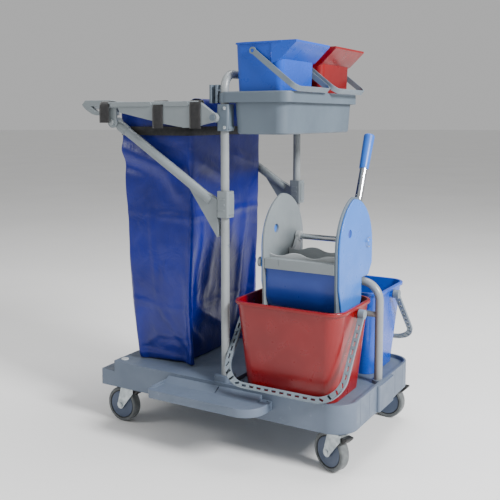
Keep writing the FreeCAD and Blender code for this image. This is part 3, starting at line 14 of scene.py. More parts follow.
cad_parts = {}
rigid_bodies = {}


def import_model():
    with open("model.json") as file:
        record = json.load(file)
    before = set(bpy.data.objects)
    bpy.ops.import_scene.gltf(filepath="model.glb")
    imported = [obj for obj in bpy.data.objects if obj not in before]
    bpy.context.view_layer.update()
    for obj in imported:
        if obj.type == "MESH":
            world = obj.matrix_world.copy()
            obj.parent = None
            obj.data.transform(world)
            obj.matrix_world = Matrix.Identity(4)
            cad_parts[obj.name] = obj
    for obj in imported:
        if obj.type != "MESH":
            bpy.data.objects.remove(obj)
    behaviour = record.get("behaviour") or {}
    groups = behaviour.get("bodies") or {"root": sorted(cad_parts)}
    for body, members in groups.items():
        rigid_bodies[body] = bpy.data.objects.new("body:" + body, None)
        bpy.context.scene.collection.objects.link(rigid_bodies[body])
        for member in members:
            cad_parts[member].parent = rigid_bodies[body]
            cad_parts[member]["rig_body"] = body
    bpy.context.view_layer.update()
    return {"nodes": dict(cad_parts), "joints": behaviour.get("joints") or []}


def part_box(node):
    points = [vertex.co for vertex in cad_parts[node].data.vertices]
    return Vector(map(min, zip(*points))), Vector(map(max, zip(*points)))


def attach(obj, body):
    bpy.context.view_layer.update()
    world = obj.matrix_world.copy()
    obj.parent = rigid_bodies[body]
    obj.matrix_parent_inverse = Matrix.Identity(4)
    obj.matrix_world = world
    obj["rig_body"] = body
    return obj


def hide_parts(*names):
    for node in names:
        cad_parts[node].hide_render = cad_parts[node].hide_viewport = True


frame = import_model()
nodes = frame["nodes"]
joints = {joint["name"]: joint for joint in frame["joints"]}
MM = 0.001
X, Y, Z = Vector((1, 0, 0)), Vector((0, 1, 0)), Vector((0, 0, 1))
print("nodes:", len(nodes), "joints:", len(joints))

# %% [markdown]
# The camera stands in front, to the right of the middle, a little lower than the push bar. It looks down
# by only a few degrees, so upright tubes stay nearly upright in its view. A small shift of the lens takes
# up the rest, as a view camera does.

# %% Camera
CAMERA_PLACE = Vector((1.127, -1.859, 0.870))
CAMERA_TURN = math.radians(30.3)
CAMERA_DOWN = math.radians(6.0)
camera_data = bpy.data.cameras.new("camera")
camera_data.lens = 54.9
camera_data.shift_y = -0.102
camera = bpy.data.objects.new("camera", camera_data)
camera.location = CAMERA_PLACE
camera.rotation_euler = (math.pi / 2 - CAMERA_DOWN, 0, CAMERA_TURN)
bpy.context.scene.collection.objects.link(camera)
bpy.context.scene.camera = camera
print("camera at", CAMERA_PLACE[:])

# %% [markdown]
# Plain soft studio light: a pale world fills the shadows, a soft box at the bucket end is the key, a weak
# one at the front left lifts the bag's side, and a wide one overhead lights what lies flat. The floor is
# a pale disc, so wide that its edge reads as a far horizon.

# %% Light and floor
def soft_box(name, place, target, size, watts):
    """A square area light that faces a point."""
    data = bpy.data.lights.new(name, "AREA")
    data.size = size
    data.energy = watts
    lamp = bpy.data.objects.new(name, data)
    lamp.location = place
    lamp.rotation_euler = (Vector(target) - Vector(place)).to_track_quat("-Z", "Y").to_euler()
    bpy.context.scene.collection.objects.link(lamp)


MIDDLE = (0.0, 0.0, 0.5)
soft_box("key", (3.4, -0.7, 2.5), MIDDLE, 1.0, 270)
soft_box("fill", (-2.6, -2.4, 2.6), MIDDLE, 1.2, 40)
soft_box("top", (0.3, 0.6, 3.4), MIDDLE, 1.8, 75)
world = bpy.data.worlds.new("studio")
world.use_nodes = True
world.node_tree.nodes["Background"].inputs["Color"].default_value = (1.0, 1.0, 1.0, 1.0)
world.node_tree.nodes["Background"].inputs["Strength"].default_value = 0.5
bpy.context.scene.world = world

FLOOR_RADIUS = 60.0
floor_shape = bmesh.new()
bmesh.ops.create_circle(floor_shape, cap_ends=True, segments=96, radius=FLOOR_RADIUS)
floor_mesh = bpy.data.meshes.new("floor")
floor_shape.to_mesh(floor_mesh)
floor_shape.free()
floor = bpy.data.objects.new("floor", floor_mesh)
bpy.context.scene.collection.objects.link(floor)
print("lamps:", len(bpy.data.lights))

# %% [markdown]
# Every finish is a small node tree. Colours are written as sRGB hex, as a colour picker shows them, and
# one function turns them to the linear values that the renderer works in. One more function adds a
# node, sets it and links its sockets, so that each material reads as a list of steps.

# %% Helpers for materials
def linear(code):
    """The linear colour of an sRGB hex code."""
    channels = []
    for i in (0, 2, 4):
        value = int(code[i:i + 2], 16) / 255
        channels.append(value / 12.92 if value <= 0.04045 else ((value + 0.055) / 1.055) ** 2.4)
    return (*channels, 1.0)


def add(tree, kind, sockets=None, **settings):
    """Add one shader node, with its settings and what goes into its sockets."""
    made = tree.nodes.new("ShaderNode" + kind)
    for name, value in settings.items():
        setattr(made, name, value)
    for name, value in (sockets or {}).items():
        if isinstance(value, bpy.types.NodeSocket):
            tree.links.new(value, made.inputs[name])
        else:
            made.inputs[name].default_value = value
    return made


def per_metre(millimetres):
    """How many repeats of a pattern fit in a metre."""
    return 1000 / millimetres


def start(name, **values):
    """A new material with its shader, its tree and its Object coordinates."""
    material = bpy.data.materials.new(name)
    material.use_nodes = True
    tree = material.node_tree
    shader = tree.nodes["Principled BSDF"]
    for socket, value in values.items():
        shader.inputs[socket.replace("_", " ")].default_value = value
    return material, tree, shader, add(tree, "TexCoord").outputs["Object"]


def mottled(tree, place, first, second, size_mm, low=0.35, high=0.65):
    """Two colours in soft patches of a given size."""
    patches = add(tree, "TexNoise", {"Vector": place, "Scale": per_metre(size_mm), "Detail": 4.0})
    share = add(tree, "MapRange", {"Value": patches.outputs["Fac"], "From Min": low, "From Max": high})
    mixed = add(tree, "Mix", {"Factor": share.outputs["Result"]}, data_type="RGBA")
    mixed.inputs[6].default_value = linear(first)
    mixed.inputs[7].default_value = linear(second)
    return mixed.outputs[2]


def patchy(tree, place, size_mm, low, high):
    """A number that wanders between two values in patches of a given size."""
    patches = add(tree, "TexNoise", {"Vector": place, "Scale": per_metre(size_mm), "Detail": 3.0})
    spread = add(tree, "MapRange", {"Value": patches.outputs["Fac"], "From Min": 0.3, "From Max": 0.7,
                                    "To Min": low, "To Max": high})
    return spread.outputs["Result"]


def grained(tree, shader, place, size_mm, detail, depth_mm, strength):
    """Raise the surface by a grain of a given size and depth."""
    grain = add(tree, "TexNoise", {"Vector": place, "Scale": per_metre(size_mm), "Detail": detail})
    bump = add(tree, "Bump", {"Height": grain.outputs["Fac"], "Distance": depth_mm * MM,
                              "Strength": strength})
    tree.links.new(bump.outputs["Normal"], shader.inputs["Normal"])


# %% [markdown]
# Polypropylene is what nearly every grey, blue and red piece here is moulded from. The real surface has
# a fine spark-eroded grain, under 0.1 mm, which is too fine to show, so it is drawn 1.5 mm wide. It is
# satin where the mould was textured, glossy where it was polished as on the buckets, and it carries
# faint flow marks in its colour and scuffs that make it duller in patches. The same steps serve the few
# pieces of nylon, vinyl and polyethylene, which differ in colour and gloss.

# %% Moulded plastics
def moulded_plastic(name, colour, shade, dull, coat=0.0):
    """Satin or glossy moulded plastic: two near colours, patchy gloss and a fine grain."""
    material, tree, shader, place = start(name, IOR=1.49, Coat_Weight=coat, Coat_Roughness=0.12)
    tree.links.new(mottled(tree, place, colour, shade, 140), shader.inputs["Base Color"])
    tree.links.new(patchy(tree, place, 35, dull - 0.06, dull + 0.10), shader.inputs["Roughness"])
    grained(tree, shader, place, 1.5, 2.0, 0.03, 0.2)
    return material


def scuffed_polypropylene(name, colour, shade, scuff, dull):
    """The deck's plastic: satin, with pale scuffs where shoes and buckets have rubbed it."""
    material, tree, shader, place = start(name, IOR=1.49)
    base = mottled(tree, place, colour, shade, 160)
    stretch = add(tree, "Mapping", {"Vector": place, "Scale": (1.0, 4.0, 1.0)})
    streaks = add(tree, "TexNoise", {"Vector": stretch.outputs["Vector"], "Scale": per_metre(28),
                                     "Detail": 6.0, "Roughness": 0.7})
    worn = add(tree, "MapRange", {"Value": streaks.outputs["Fac"], "From Min": 0.62, "From Max": 0.74,
                                  "To Max": 0.45})
    mixed = add(tree, "Mix", {"Factor": worn.outputs["Result"]}, data_type="RGBA")
    tree.links.new(base, mixed.inputs[6])
    mixed.inputs[7].default_value = linear(scuff)
    tree.links.new(mixed.outputs[2], shader.inputs["Base Color"])
    tree.links.new(patchy(tree, place, 40, dull - 0.05, dull + 0.12), shader.inputs["Roughness"])
    grained(tree, shader, place, 2.0, 3.0, 0.08, 0.4)
    return material


grey_deck = scuffed_polypropylene("grey_deck_polypropylene", "5f6b7c", "566273", "8f9aa3", 0.46)
grey_moulding = moulded_plastic("grey_polypropylene", "5e6b77", "56626e", 0.42)
light_grey_moulding = moulded_plastic("light_grey_polypropylene", "7f878b", "757d81", 0.40)
jaw_moulding = moulded_plastic("jaw_polypropylene", "b3b8ba", "a4a9ab", 0.40)
bail_moulding = moulded_plastic("bail_polypropylene", "6d7983", "616d77", 0.36)
red_bucket_moulding = moulded_plastic("red_polypropylene", "830006", "730005", 0.30, coat=0.1)
blue_bucket_moulding = moulded_plastic("blue_polypropylene", "1a4fba", "1546a8", 0.28, coat=0.15)
cover_moulding = moulded_plastic("light_blue_polypropylene", "3c78d2", "336fc6", 0.30, coat=0.1)
# The royal blue is the front panel's own colour and also paints the shade in the cover's dimple.
panel_moulding_and_dimple_shade = moulded_plastic("royal_blue_polypropylene", "1d429f", "18398f", 0.32, coat=0.1)
grip_moulding = moulded_plastic("grip_vinyl", "2f69c4", "285fb6", 0.36)
# Black nylon is the caster guards' own colour; the same material also paints the shade in each wheel's
# channel and in the knob's recess.
black_nylon_and_painted_shade = moulded_plastic("black_nylon_and_painted_shade", "1b1c1e", "131415", 0.45)
hub_nylon = moulded_plastic("hub_nylon", "46536a", "3d495e", 0.40)
plug_moulding = moulded_plastic("plug_polyethylene", "c3c8cb", "b4babd", 0.35)
print("plastics:", len(bpy.data.materials))

# %% [markdown]
# The tubes are steel with a warm grey powder coat. Powder melts into a skin with a faint orange peel of
# about 2 mm, and it stays smooth and a little glossy. Zinc plate on pressed steel is a dull metal with
# cloudy patches. The lever and its pivot rod are chrome plated: a near mirror with fine lines from
# drawing the tube. A Mapping node makes them by stretching the grain upward, the way the lever stands.

# %% Metals
def powder_coated_steel(name, colour, shade):
    """Powder coat over steel: orange peel under a thin gloss."""
    material, tree, shader, place = start(name, IOR=1.5, Coat_Weight=0.15, Coat_Roughness=0.2)
    tree.links.new(mottled(tree, place, colour, shade, 90), shader.inputs["Base Color"])
    tree.links.new(patchy(tree, place, 30, 0.28, 0.42), shader.inputs["Roughness"])
    grained(tree, shader, place, 2.2, 1.0, 0.06, 0.4)
    return material


def zinc_plated_steel(name, colour, shade):
    """Zinc plate on pressed steel: dull metal, cloudy from the bath."""
    material, tree, shader, place = start(name, Metallic=0.85)
    tree.links.new(mottled(tree, place, colour, shade, 16), shader.inputs["Base Color"])
    tree.links.new(patchy(tree, place, 9, 0.30, 0.50), shader.inputs["Roughness"])
    grained(tree, shader, place, 1.2, 3.0, 0.04, 0.4)
    return material


def chrome_plated_steel(name, colour, shade):
    """Chrome on drawn tube: a bright mirror with faint upright lines."""
    material, tree, shader, place = start(name, Metallic=1.0)
    tree.links.new(mottled(tree, place, colour, shade, 60), shader.inputs["Base Color"])
    tree.links.new(patchy(tree, place, 25, 0.10, 0.22), shader.inputs["Roughness"])
    drawn = add(tree, "Mapping", {"Vector": place, "Scale": (1.0, 1.0, 0.04)})
    grained(tree, shader, drawn.outputs["Vector"], 1.0, 2.0, 0.02, 0.3)
    return material


tube_coat = powder_coated_steel("powder_coated_steel", "8a8f91", "7f8487")
zinc_plate = zinc_plated_steel("zinc_plated_steel", "c3cacd", "9ea6aa")
chrome_plate = chrome_plated_steel("chrome_plated_steel", "dfe1e3", "cfd2d5")

# %% [markdown]
# The tyres are soft grey thermoplastic rubber. Rubber scatters light, so it has almost no gloss, and
# the tread picks up dust, which shows as paler, rougher patches.

# %% Rubber
def thermoplastic_rubber(name, colour, dust):
    """Dull grey rubber with dusty patches and a fine skin."""
    material, tree, shader, place = start(name, IOR=1.52, Sheen_Weight=0.15, Sheen_Roughness=0.5)
    tree.links.new(mottled(tree, place, colour, dust, 14, 0.45, 0.8), shader.inputs["Base Color"])
    tree.links.new(patchy(tree, place, 12, 0.62, 0.82), shader.inputs["Roughness"])
    grained(tree, shader, place, 1.6, 5.0, 0.12, 0.5)
    return material


tyre_rubber = thermoplastic_rubber("grey_thermoplastic_rubber", "54585a", "6c7071")

# %% [markdown]
# The bag is polyester cloth coated with PVC. The coating fills the weave, so the thread shows only as a
# low grid under a soft gloss, and light slides over every crease. The thread is 0.6 mm apart on the real
# cloth and is drawn 3 mm apart so that it shows. The straps are woven elastic with ribs along them.

# %% Fabrics
def wave_scale(millimetres):
    """The scale of a wave texture with bands so far apart: one band is pi / 10 of its unit."""
    return per_metre(millimetres) * math.pi / 10


def coated_polyester(name, colour, shade):
    """PVC coated cloth: soft gloss over a low woven grid, along the piece's own UV map."""
    material, tree, shader, place = start(name, IOR=1.45, Coat_Weight=0.08, Coat_Roughness=0.25)
    tree.links.new(mottled(tree, place, colour, shade, 110), shader.inputs["Base Color"])
    tree.links.new(patchy(tree, place, 60, 0.3, 0.42), shader.inputs["Roughness"])
    cloth = add(tree, "UVMap", uv_map="cloth").outputs["UV"]
    heights = []
    for direction in ("X", "Y"):
        threads = add(tree, "TexWave", {"Vector": cloth, "Scale": wave_scale(3.0)},
                      bands_direction=direction)
        heights.append(threads.outputs["Fac"])
    weave = add(tree, "Math", {0: heights[0], 1: heights[1]}, operation="MAXIMUM")
    creased = add(tree, "TexNoise", {"Vector": place, "Scale": per_metre(70), "Detail": 3.0,
                                     "Distortion": 1.6})
    both = add(tree, "Math", {0: weave.outputs["Value"], 1: 0.02}, operation="MULTIPLY")
    total = add(tree, "Math", {0: both.outputs["Value"], 1: creased.outputs["Fac"]})
    bump = add(tree, "Bump", {"Height": total.outputs["Value"], "Distance": 5.0 * MM, "Strength": 0.5})
    tree.links.new(bump.outputs["Normal"], shader.inputs["Normal"])
    return material


def pale_floor(name, colour, shade):
    """Painted studio floor: pale and matt, with a hardly visible mottle."""
    material, tree, shader, place = start(name, IOR=1.45)
    tree.links.new(mottled(tree, place, colour, shade, 900), shader.inputs["Base Color"])
    tree.links.new(patchy(tree, place, 400, 0.75, 0.85), shader.inputs["Roughness"])
    return material


def woven_elastic(name, colour, shade):
    """Black elastic webbing with ribs 2.5 mm apart along the strap."""
    material, tree, shader, place = start(name, IOR=1.5, Sheen_Weight=0.3, Sheen_Roughness=0.4)
    tree.links.new(mottled(tree, place, colour, shade, 12), shader.inputs["Base Color"])
    tree.links.new(patchy(tree, place, 10, 0.7, 0.9), shader.inputs["Roughness"])
    ribs = add(tree, "TexWave", {"Vector": place, "Scale": wave_scale(2.5)}, bands_direction="X")
    cross = add(tree, "TexWave", {"Vector": place, "Scale": wave_scale(1.8)}, bands_direction="Z")
    weave = add(tree, "Math", {0: ribs.outputs["Fac"], 1: cross.outputs["Fac"]}, operation="ADD")
    bump = add(tree, "Bump", {"Height": weave.outputs["Value"], "Distance": 0.25 * MM, "Strength": 0.6})
    tree.links.new(bump.outputs["Normal"], shader.inputs["Normal"])
    return material


floor_mesh.materials.append(pale_floor("studio_floor", "f2f2f1", "eeeeed"))
bag_cloth = coated_polyester("pvc_coated_polyester", "03167c", "021168")
strap_elastic = woven_elastic("woven_elastic", "1d1d1f", "141416")
# The hem band's near-black, darker than the straps, is partly the binding's own colour and partly painted
# shade under the ring's skirt.
hem_binding_and_shade = woven_elastic("hem_binding_and_shade", "101114", "0b0c0e")
print("materials:", len(bpy.data.materials))

# %% [markdown]
# New pieces start as a bmesh, which Blender's operators shape, and end as an object at the origin with
# its place in its mesh. One function does that last step for every piece: it shades the piece, gives it its
# material and its slot, says which body it rides on and hides the CAD nodes it stands for.

# %% Helpers for pieces
def smooth_by_angle(mesh, degrees=38):
    """Shade smooth, but keep edges sharper than an angle crisp."""
    mesh.shade_smooth()
    mesh.set_sharp_from_angle(angle=math.radians(degrees))


def piece(name, shape, material, body, stands_for=()):
    """Turn a bmesh into a finished piece that rides on a body."""
    mesh = bpy.data.meshes.new(name)
    shape.to_mesh(mesh)
    shape.free()
    smooth_by_angle(mesh)
    mesh.materials.append(material)
    made = bpy.data.objects.new(name, mesh)
    bpy.context.scene.collection.objects.link(made)
    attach(made, body)
    if stands_for:
        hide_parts(*stands_for)
    return made


def modifier(made, kind, **settings):
    """Add a modifier with its settings."""
    added = made.modifiers.new(kind.lower(), kind)
    for name, value in settings.items():
        setattr(added, name, value)
    return added


def applied(made):
    """Turn a piece's modifiers into its own mesh."""
    bpy.context.view_layer.update()
    graph = bpy.context.evaluated_depsgraph_get()
    mesh = bpy.data.meshes.new_from_object(made.evaluated_get(graph))
    made.modifiers.clear()
    old = made.data
    made.data = mesh
    mesh.name = old.name
    bpy.data.meshes.remove(old)


def box_shape(low, high):
    """A bmesh box between two corners."""
    shape = bmesh.new()
    low, high = Vector(low), Vector(high)
    bmesh.ops.create_cube(shape, size=1.0)
    bmesh.ops.scale(shape, vec=high - low, verts=shape.verts)
    bmesh.ops.translate(shape, vec=(high + low) / 2, verts=shape.verts)
    return shape


def rounded_box(low, high, axis, radius, segments=6):
    """A box whose edges along one axis are rounded."""
    shape = box_shape(low, high)
    along = [e for e in shape.edges if abs((e.verts[0].co - e.verts[1].co).normalized().dot(axis)) > 0.9]
    bmesh.ops.bevel(shape, geom=along, offset=radius, segments=segments, profile=0.5, affect="EDGES",
                    material=-1)
    return shape


SHARP_ABOVE = math.radians(35)
ROOM_FOR_BEVEL = 2.2


def soften(shape, width, segments=2):
    """Round the sharp edges, but not where one that meets them is too short for two bevels."""
    sharp = [e for e in shape.edges if len(e.link_faces) == 2 and e.calc_face_angle(0.0) > SHARP_ABOVE]
    tight = {v for e in sharp if e.calc_length() < ROOM_FOR_BEVEL * width for v in e.verts}
    free = [e for e in sharp if e.verts[0] not in tight and e.verts[1] not in tight]
    bmesh.ops.bevel(shape, geom=free, offset=width, segments=segments, profile=0.5, affect="EDGES",
                    clamp_overlap=False, material=-1)


def turned(profile, centre, axis, steps=56):
    """Spin a closed profile of (radius, along) pairs in millimetres about an axis."""
    shape = bmesh.new()
    axis = Vector(axis).normalized()
    out = axis.orthogonal().normalized()
    verts = [shape.verts.new(Vector(centre) + out * r * MM + axis * h * MM) for r, h in profile]
    edges = [shape.edges.new(pair) for pair in zip(verts, verts[1:] + verts[:1])]
    bmesh.ops.spin(shape, geom=verts + edges, cent=centre, axis=axis, angle=2 * math.pi, steps=steps,
                   use_merge=True)
    bmesh.ops.remove_doubles(shape, verts=shape.verts, dist=1e-6)
    bmesh.ops.recalc_face_normals(shape, faces=shape.faces)
    return shape


def body_of(node):
    """The body that a CAD node rides on."""
    return nodes[node]["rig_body"]


# %% [markdown]
# A mould can't leave a knife edge, so every moulded piece has small radii that catch a thin line of
# light. The CAD shapes are right but crisp. A copy of each is merged from its loose triangles, its flat
# areas are dissolved into single faces, and its sharp edges are bevelled. Some copies first have shallow
# recesses cut with a boolean, because those are cheaper to cut here than to build up.

# %% Rounded copies of moulded pieces
def cut_out(made, cutters):
    """Cut shapes out of a piece."""
    for cutter in cutters:
        mesh = bpy.data.meshes.new("cutter")
        cutter.to_mesh(mesh)
        cutter.free()
        tool = bpy.data.objects.new("cutter", mesh)
        bpy.context.scene.collection.objects.link(tool)
        modifier(made, "BOOLEAN", object=tool, operation="DIFFERENCE", solver="EXACT")
        applied(made)
        bpy.data.objects.remove(tool)
        bpy.data.meshes.remove(mesh)


MERGE_WITHIN = 2e-5
FLAT_WITHIN = math.radians(0.5)


def rounded_copy(node, width_mm, material, cutters=(), segments=2):
    """Stand in for a CAD node with a copy whose sharp edges are rounded."""
    shape = bmesh.new()
    shape.from_mesh(nodes[node].data)
    bmesh.ops.remove_doubles(shape, verts=shape.verts, dist=MERGE_WITHIN)
    made = piece(node + "_moulding", shape, material, body_of(node), (node,))
    cut_out(made, cutters)
    shape = bmesh.new()
    shape.from_mesh(made.data)
    bmesh.ops.remove_doubles(shape, verts=shape.verts, dist=MERGE_WITHIN)
    bmesh.ops.dissolve_limit(shape, angle_limit=FLAT_WITHIN, verts=shape.verts, edges=shape.edges)
    soften(shape, width_mm * MM, segments)
    shape.to_mesh(made.data)
    shape.free()
    smooth_by_angle(made.data)
    modifier(made, "WEIGHTED_NORMAL", keep_sharp=True)
    print(made.name, len(made.data.polygons), "faces")
    return made


# Four narrow upright grooves in the deck's bucket end, and how far they keep in from its faces.
DECK_GROOVES = (-0.145, -0.085, 0.105, 0.165)
HALF_GROOVE = 1.2 * MM
GROOVE_BACK, GROOVE_FRONT = 9.5 * MM, 6.8 * MM
GROOVE_FOOT, GROOVE_HEAD = 8 * MM, 12 * MM
deck_low, deck_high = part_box("platform")
deck_cutters = [box_shape((deck_high.x - GROOVE_BACK, y - HALF_GROOVE, deck_low.z + GROOVE_FOOT),
                          (deck_high.x - GROOVE_FRONT, y + HALF_GROOVE, deck_high.z - GROOVE_HEAD))
                for y in DECK_GROOVES]

# The wringer's bar is split near one end. The split shows as two slits that meet in a corner.
BAR_SLITS = (((0.2185, -0.1625, 0.4965), (0.2195, -0.1598, 0.5135)),
             ((0.2185, -0.1625, 0.5105), (0.2195, -0.1325, 0.5135)))
bar_cutters = [box_shape(low, high) for low, high in BAR_SLITS]

# Each row: the node, the width of its rounded edges in millimetres, and its material.
MOULDED = (
    ("front_shelf", 1.6, grey_deck), ("upper_tray", 1.0, grey_moulding), ("top_bar_clip", 0.7, grey_moulding),
    ("arm_clamps", 0.7, light_grey_moulding), ("hinge_brackets", 0.8, grey_moulding),
    ("push_handle", 1.6, light_grey_moulding), ("support_arm_front", 1.0, light_grey_moulding),
    ("support_arm_rear", 1.0, light_grey_moulding), ("wringer_side_right", 1.0, grey_moulding),
    ("wringer_side_left", 1.0, light_grey_moulding), ("wringer_cover_right", 1.8, cover_moulding),
    ("wringer_cover_left", 1.8, cover_moulding), ("wringer_front_plate", 0.8, jaw_moulding),
    ("wringer_front_panel", 1.0, panel_moulding_and_dimple_shade), ("press_plate", 0.8, jaw_moulding),
    ("red_bail", 0.5, bail_moulding), ("blue_bail", 0.5, bail_moulding),
    ("small_bail_blue", 0.9, bail_moulding), ("small_bail_red", 0.9, bail_moulding),
    ("small_bucket_blue", 0.7, blue_bucket_moulding), ("small_bucket_red", 0.7, red_bucket_moulding),
)
rounded_copy("platform", 1.4, grey_deck, deck_cutters)
rounded_copy("bag_ring", 1.0, light_grey_moulding)
rounded_copy("wringer_front_bar", 0.8, light_grey_moulding, bar_cutters)
for node, width, material in MOULDED:
    rounded_copy(node, width, material)

# %% [markdown]
# Some CAD nodes are already the true shape, such as the bent tubes. They stay, and only their material
# slot is filled.

# %% Dress the nodes that stay
def dress(node, material):
    """Give a CAD node its finish."""
    nodes[node].data.materials.clear()
    nodes[node].data.materials.append(material)


DRESSED = {
    "portal_tube": tube_coat, "bucket_arch_tube": tube_coat, "arch_cross_rail": tube_coat,
    "height_buttons": zinc_plate, "caster_heads": zinc_plate, "arm_pins": zinc_plate,
    "pivot_rod": chrome_plate, "lever_tube": chrome_plate, "deck_plug": plug_moulding,
}
for node, material in DRESSED.items():
    dress(node, material)
print("dressed:", len(DRESSED), "nodes")

# %% [markdown]
# The big buckets are moulded thin and taper toward the floor so that they stack. Their lip turns outward,
# which stiffens the mouth and gives the hand a round edge, so their bevel has one more step than the rest.

# %% Big buckets
rounded_copy("red_bucket", 1.4, red_bucket_moulding, segments=3)
rounded_copy("blue_bucket", 1.4, blue_bucket_moulding, segments=3)

# %% [markdown]
# A caster's wheel has a nylon centre and a rubber tread. Where the two meet, the centre steps down to a
# narrow channel that falls in shade and reads as a dark circle. A black ring of painted shade fills its
# bottom; it is turned here from a profile, on both faces of the wheel, about the axle's own direction. The
# rest of a caster is right in the CAD model and is rounded or dressed like the other nodes.

# %% Casters and wheels
CORNERS = ("front_left", "front_right", "rear_left", "rear_right")
# The black ring of painted shade in the channel as (radius, out from the wheel's middle), in millimetres.
CHANNEL_SHADE_RING = ((38.3, 8.8), (40.7, 8.8), (40.7, 9.8), (39.5, 9.5), (38.3, 9.8))


def groove_shade_ring(corner):
    """A black ring of painted shade in the channel between a wheel's centre and its tread, on both faces."""
    tyre_low, tyre_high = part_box("wheel_tyre_" + corner)
    centre = (tyre_low + tyre_high) / 2
    axis = Vector(joints["wheel_" + corner + "_spin"]["axis"]).normalized()
    shape = bmesh.new()
    for side in (-1, 1):
        half = turned([(radius, side * out) for radius, out in CHANNEL_SHADE_RING], centre, axis)
        mesh = bpy.data.meshes.new("half")
        half.to_mesh(mesh)
        half.free()
        shape.from_mesh(mesh)
        bpy.data.meshes.remove(mesh)
    return piece("wheel_groove_shade_" + corner, shape, black_nylon_and_painted_shade, "wheel_" + corner)


for corner in CORNERS:
    groove_shade_ring(corner)
    rounded_copy("wheel_hub_" + corner, 0.8, hub_nylon)
    rounded_copy("caster_fork_" + corner, 0.6, zinc_plate)
    rounded_copy("caster_guard_" + corner, 2.0, black_nylon_and_painted_shade)
    dress("wheel_tyre_" + corner, tyre_rubber)
    dress("caster_axle_" + corner, zinc_plate)

# %% [markdown]
# The lever's grip is a vinyl sleeve pushed over the chromed tube. It could be turned from a profile, but
# the CAD model already has its shape, so it gets a rounded copy in vinyl.

# %% Lever grip
rounded_copy("lever_grip", 0.8, grip_moulding)

# %% [markdown]
# The waste bag is a flat-bottomed sack of coated polyester that hangs inside the ring. Cloth like this
# holds the creases it was packed with and buckles softly where it is longer than its frame, so it is made
# as cloth. Here it is cut: a box with rounded corners and no lid gets a fine grid of faces and a map that
# its weave follows, and its left side leans in toward the floor.

# %% Cut the bag
BAG_GRID = 10 * MM
BAG_TOP = 0.900
BAG_CORNER = 20 * MM
CLEAR_OF_DECK = 2 * MM
SHORTEST_EDGE = 1.5 * MM
bag_low, bag_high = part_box("bag")
FLOOR_LEFT = bag_low.x + 40 * MM
bag_shape = rounded_box((bag_low.x, bag_low.y, bag_low.z + CLEAR_OF_DECK),
                        (bag_high.x, bag_high.y, BAG_TOP), Z, BAG_CORNER, segments=4)
bmesh.ops.delete(bag_shape, geom=[f for f in bag_shape.faces if f.normal.z > 0.9], context="FACES_ONLY")
for axis in (X, Y, Z):
    low = min(v.co.dot(axis) for v in bag_shape.verts)
    high = max(v.co.dot(axis) for v in bag_shape.verts)
    cuts = int((high - low) / BAG_GRID)
    for step in range(1, cuts):
        bmesh.ops.bisect_plane(bag_shape, geom=bag_shape.verts[:] + bag_shape.edges[:] + bag_shape.faces[:],
                               plane_co=axis * (low + (high - low) * step / cuts), plane_no=axis, dist=1e-5)
bmesh.ops.dissolve_degenerate(bag_shape, edges=bag_shape.edges, dist=SHORTEST_EDGE)
uv = bag_shape.loops.layers.uv.new("cloth")
for face in bag_shape.faces:
    steep = max(range(3), key=lambda i: abs(face.normal[i]))
    for loop in face.loops:
        place = loop.vert.co
        loop[uv].uv = ((place.y, place.z), (place.x, place.z), (place.x, place.y))[steep]
for vert in bag_shape.verts:
    share = (BAG_TOP - vert.co.z) / (BAG_TOP - bag_low.z)
    along = (bag_high.x - vert.co.x) / (bag_high.x - bag_low.x)
    vert.co.x += share * along * (FLOOR_LEFT - bag_low.x)
bag = piece("waste_bag", bag_shape, bag_cloth, "bag_frame", ("bag",))
print("bag:", len(bag.data.vertices), "vertices")

# %% [markdown]
# A bag hangs from its mouth and sags between its seams. Vertices could be moved by a formula, but cloth
# that is given a little spare length and simulated finds its own buckles. The mouth is pinned, a faint
# pressure keeps the sides apart, and the result becomes the mesh.

# %% Hang the bag
PINNED_ABOVE = 0.815
SETTLING_FRAMES = 12


def hang_cloth(made, pinned, frames):
    """Let a cloth settle under its weight with its mouth pinned, and keep the result."""
    group = made.vertex_groups.new(name="pinned")
    for vert in made.data.vertices:
        if vert.co.z > pinned:
            group.add([vert.index], 1.0, "REPLACE")
    cloth = modifier(made, "CLOTH")
    settings = cloth.settings
    settings.quality = 6
    settings.mass = 0.25
    settings.tension_stiffness = 15
    settings.compression_stiffness = 15
    settings.shear_stiffness = 5
    settings.bending_stiffness = 2.0
    settings.vertex_group_mass = group.name
    settings.shrink_min = -0.002
    settings.use_pressure = True
    settings.uniform_pressure_force = 0.15
    settings.effector_weights.gravity = 1.0
    cloth.collision_settings.use_collision = False
    cloth.point_cache.frame_start = 1
    cloth.point_cache.frame_end = frames
    for moment in range(1, frames + 1):
        bpy.context.scene.frame_set(moment)
    applied(made)
    made.vertex_groups.clear()
    bpy.context.scene.frame_set(1)


hang_cloth(bag, PINNED_ABOVE, SETTLING_FRAMES)

# %% [markdown]
# The bag was packed flat, and each fold left a sharp line with a shallow dip at both sides. A simulation
# doesn't know where it was folded, so the lines are written down and pressed in: a vertex moves out along
# its normal on a line and sinks a little beside it. Two sizes of noise keep the cloth between them alive.

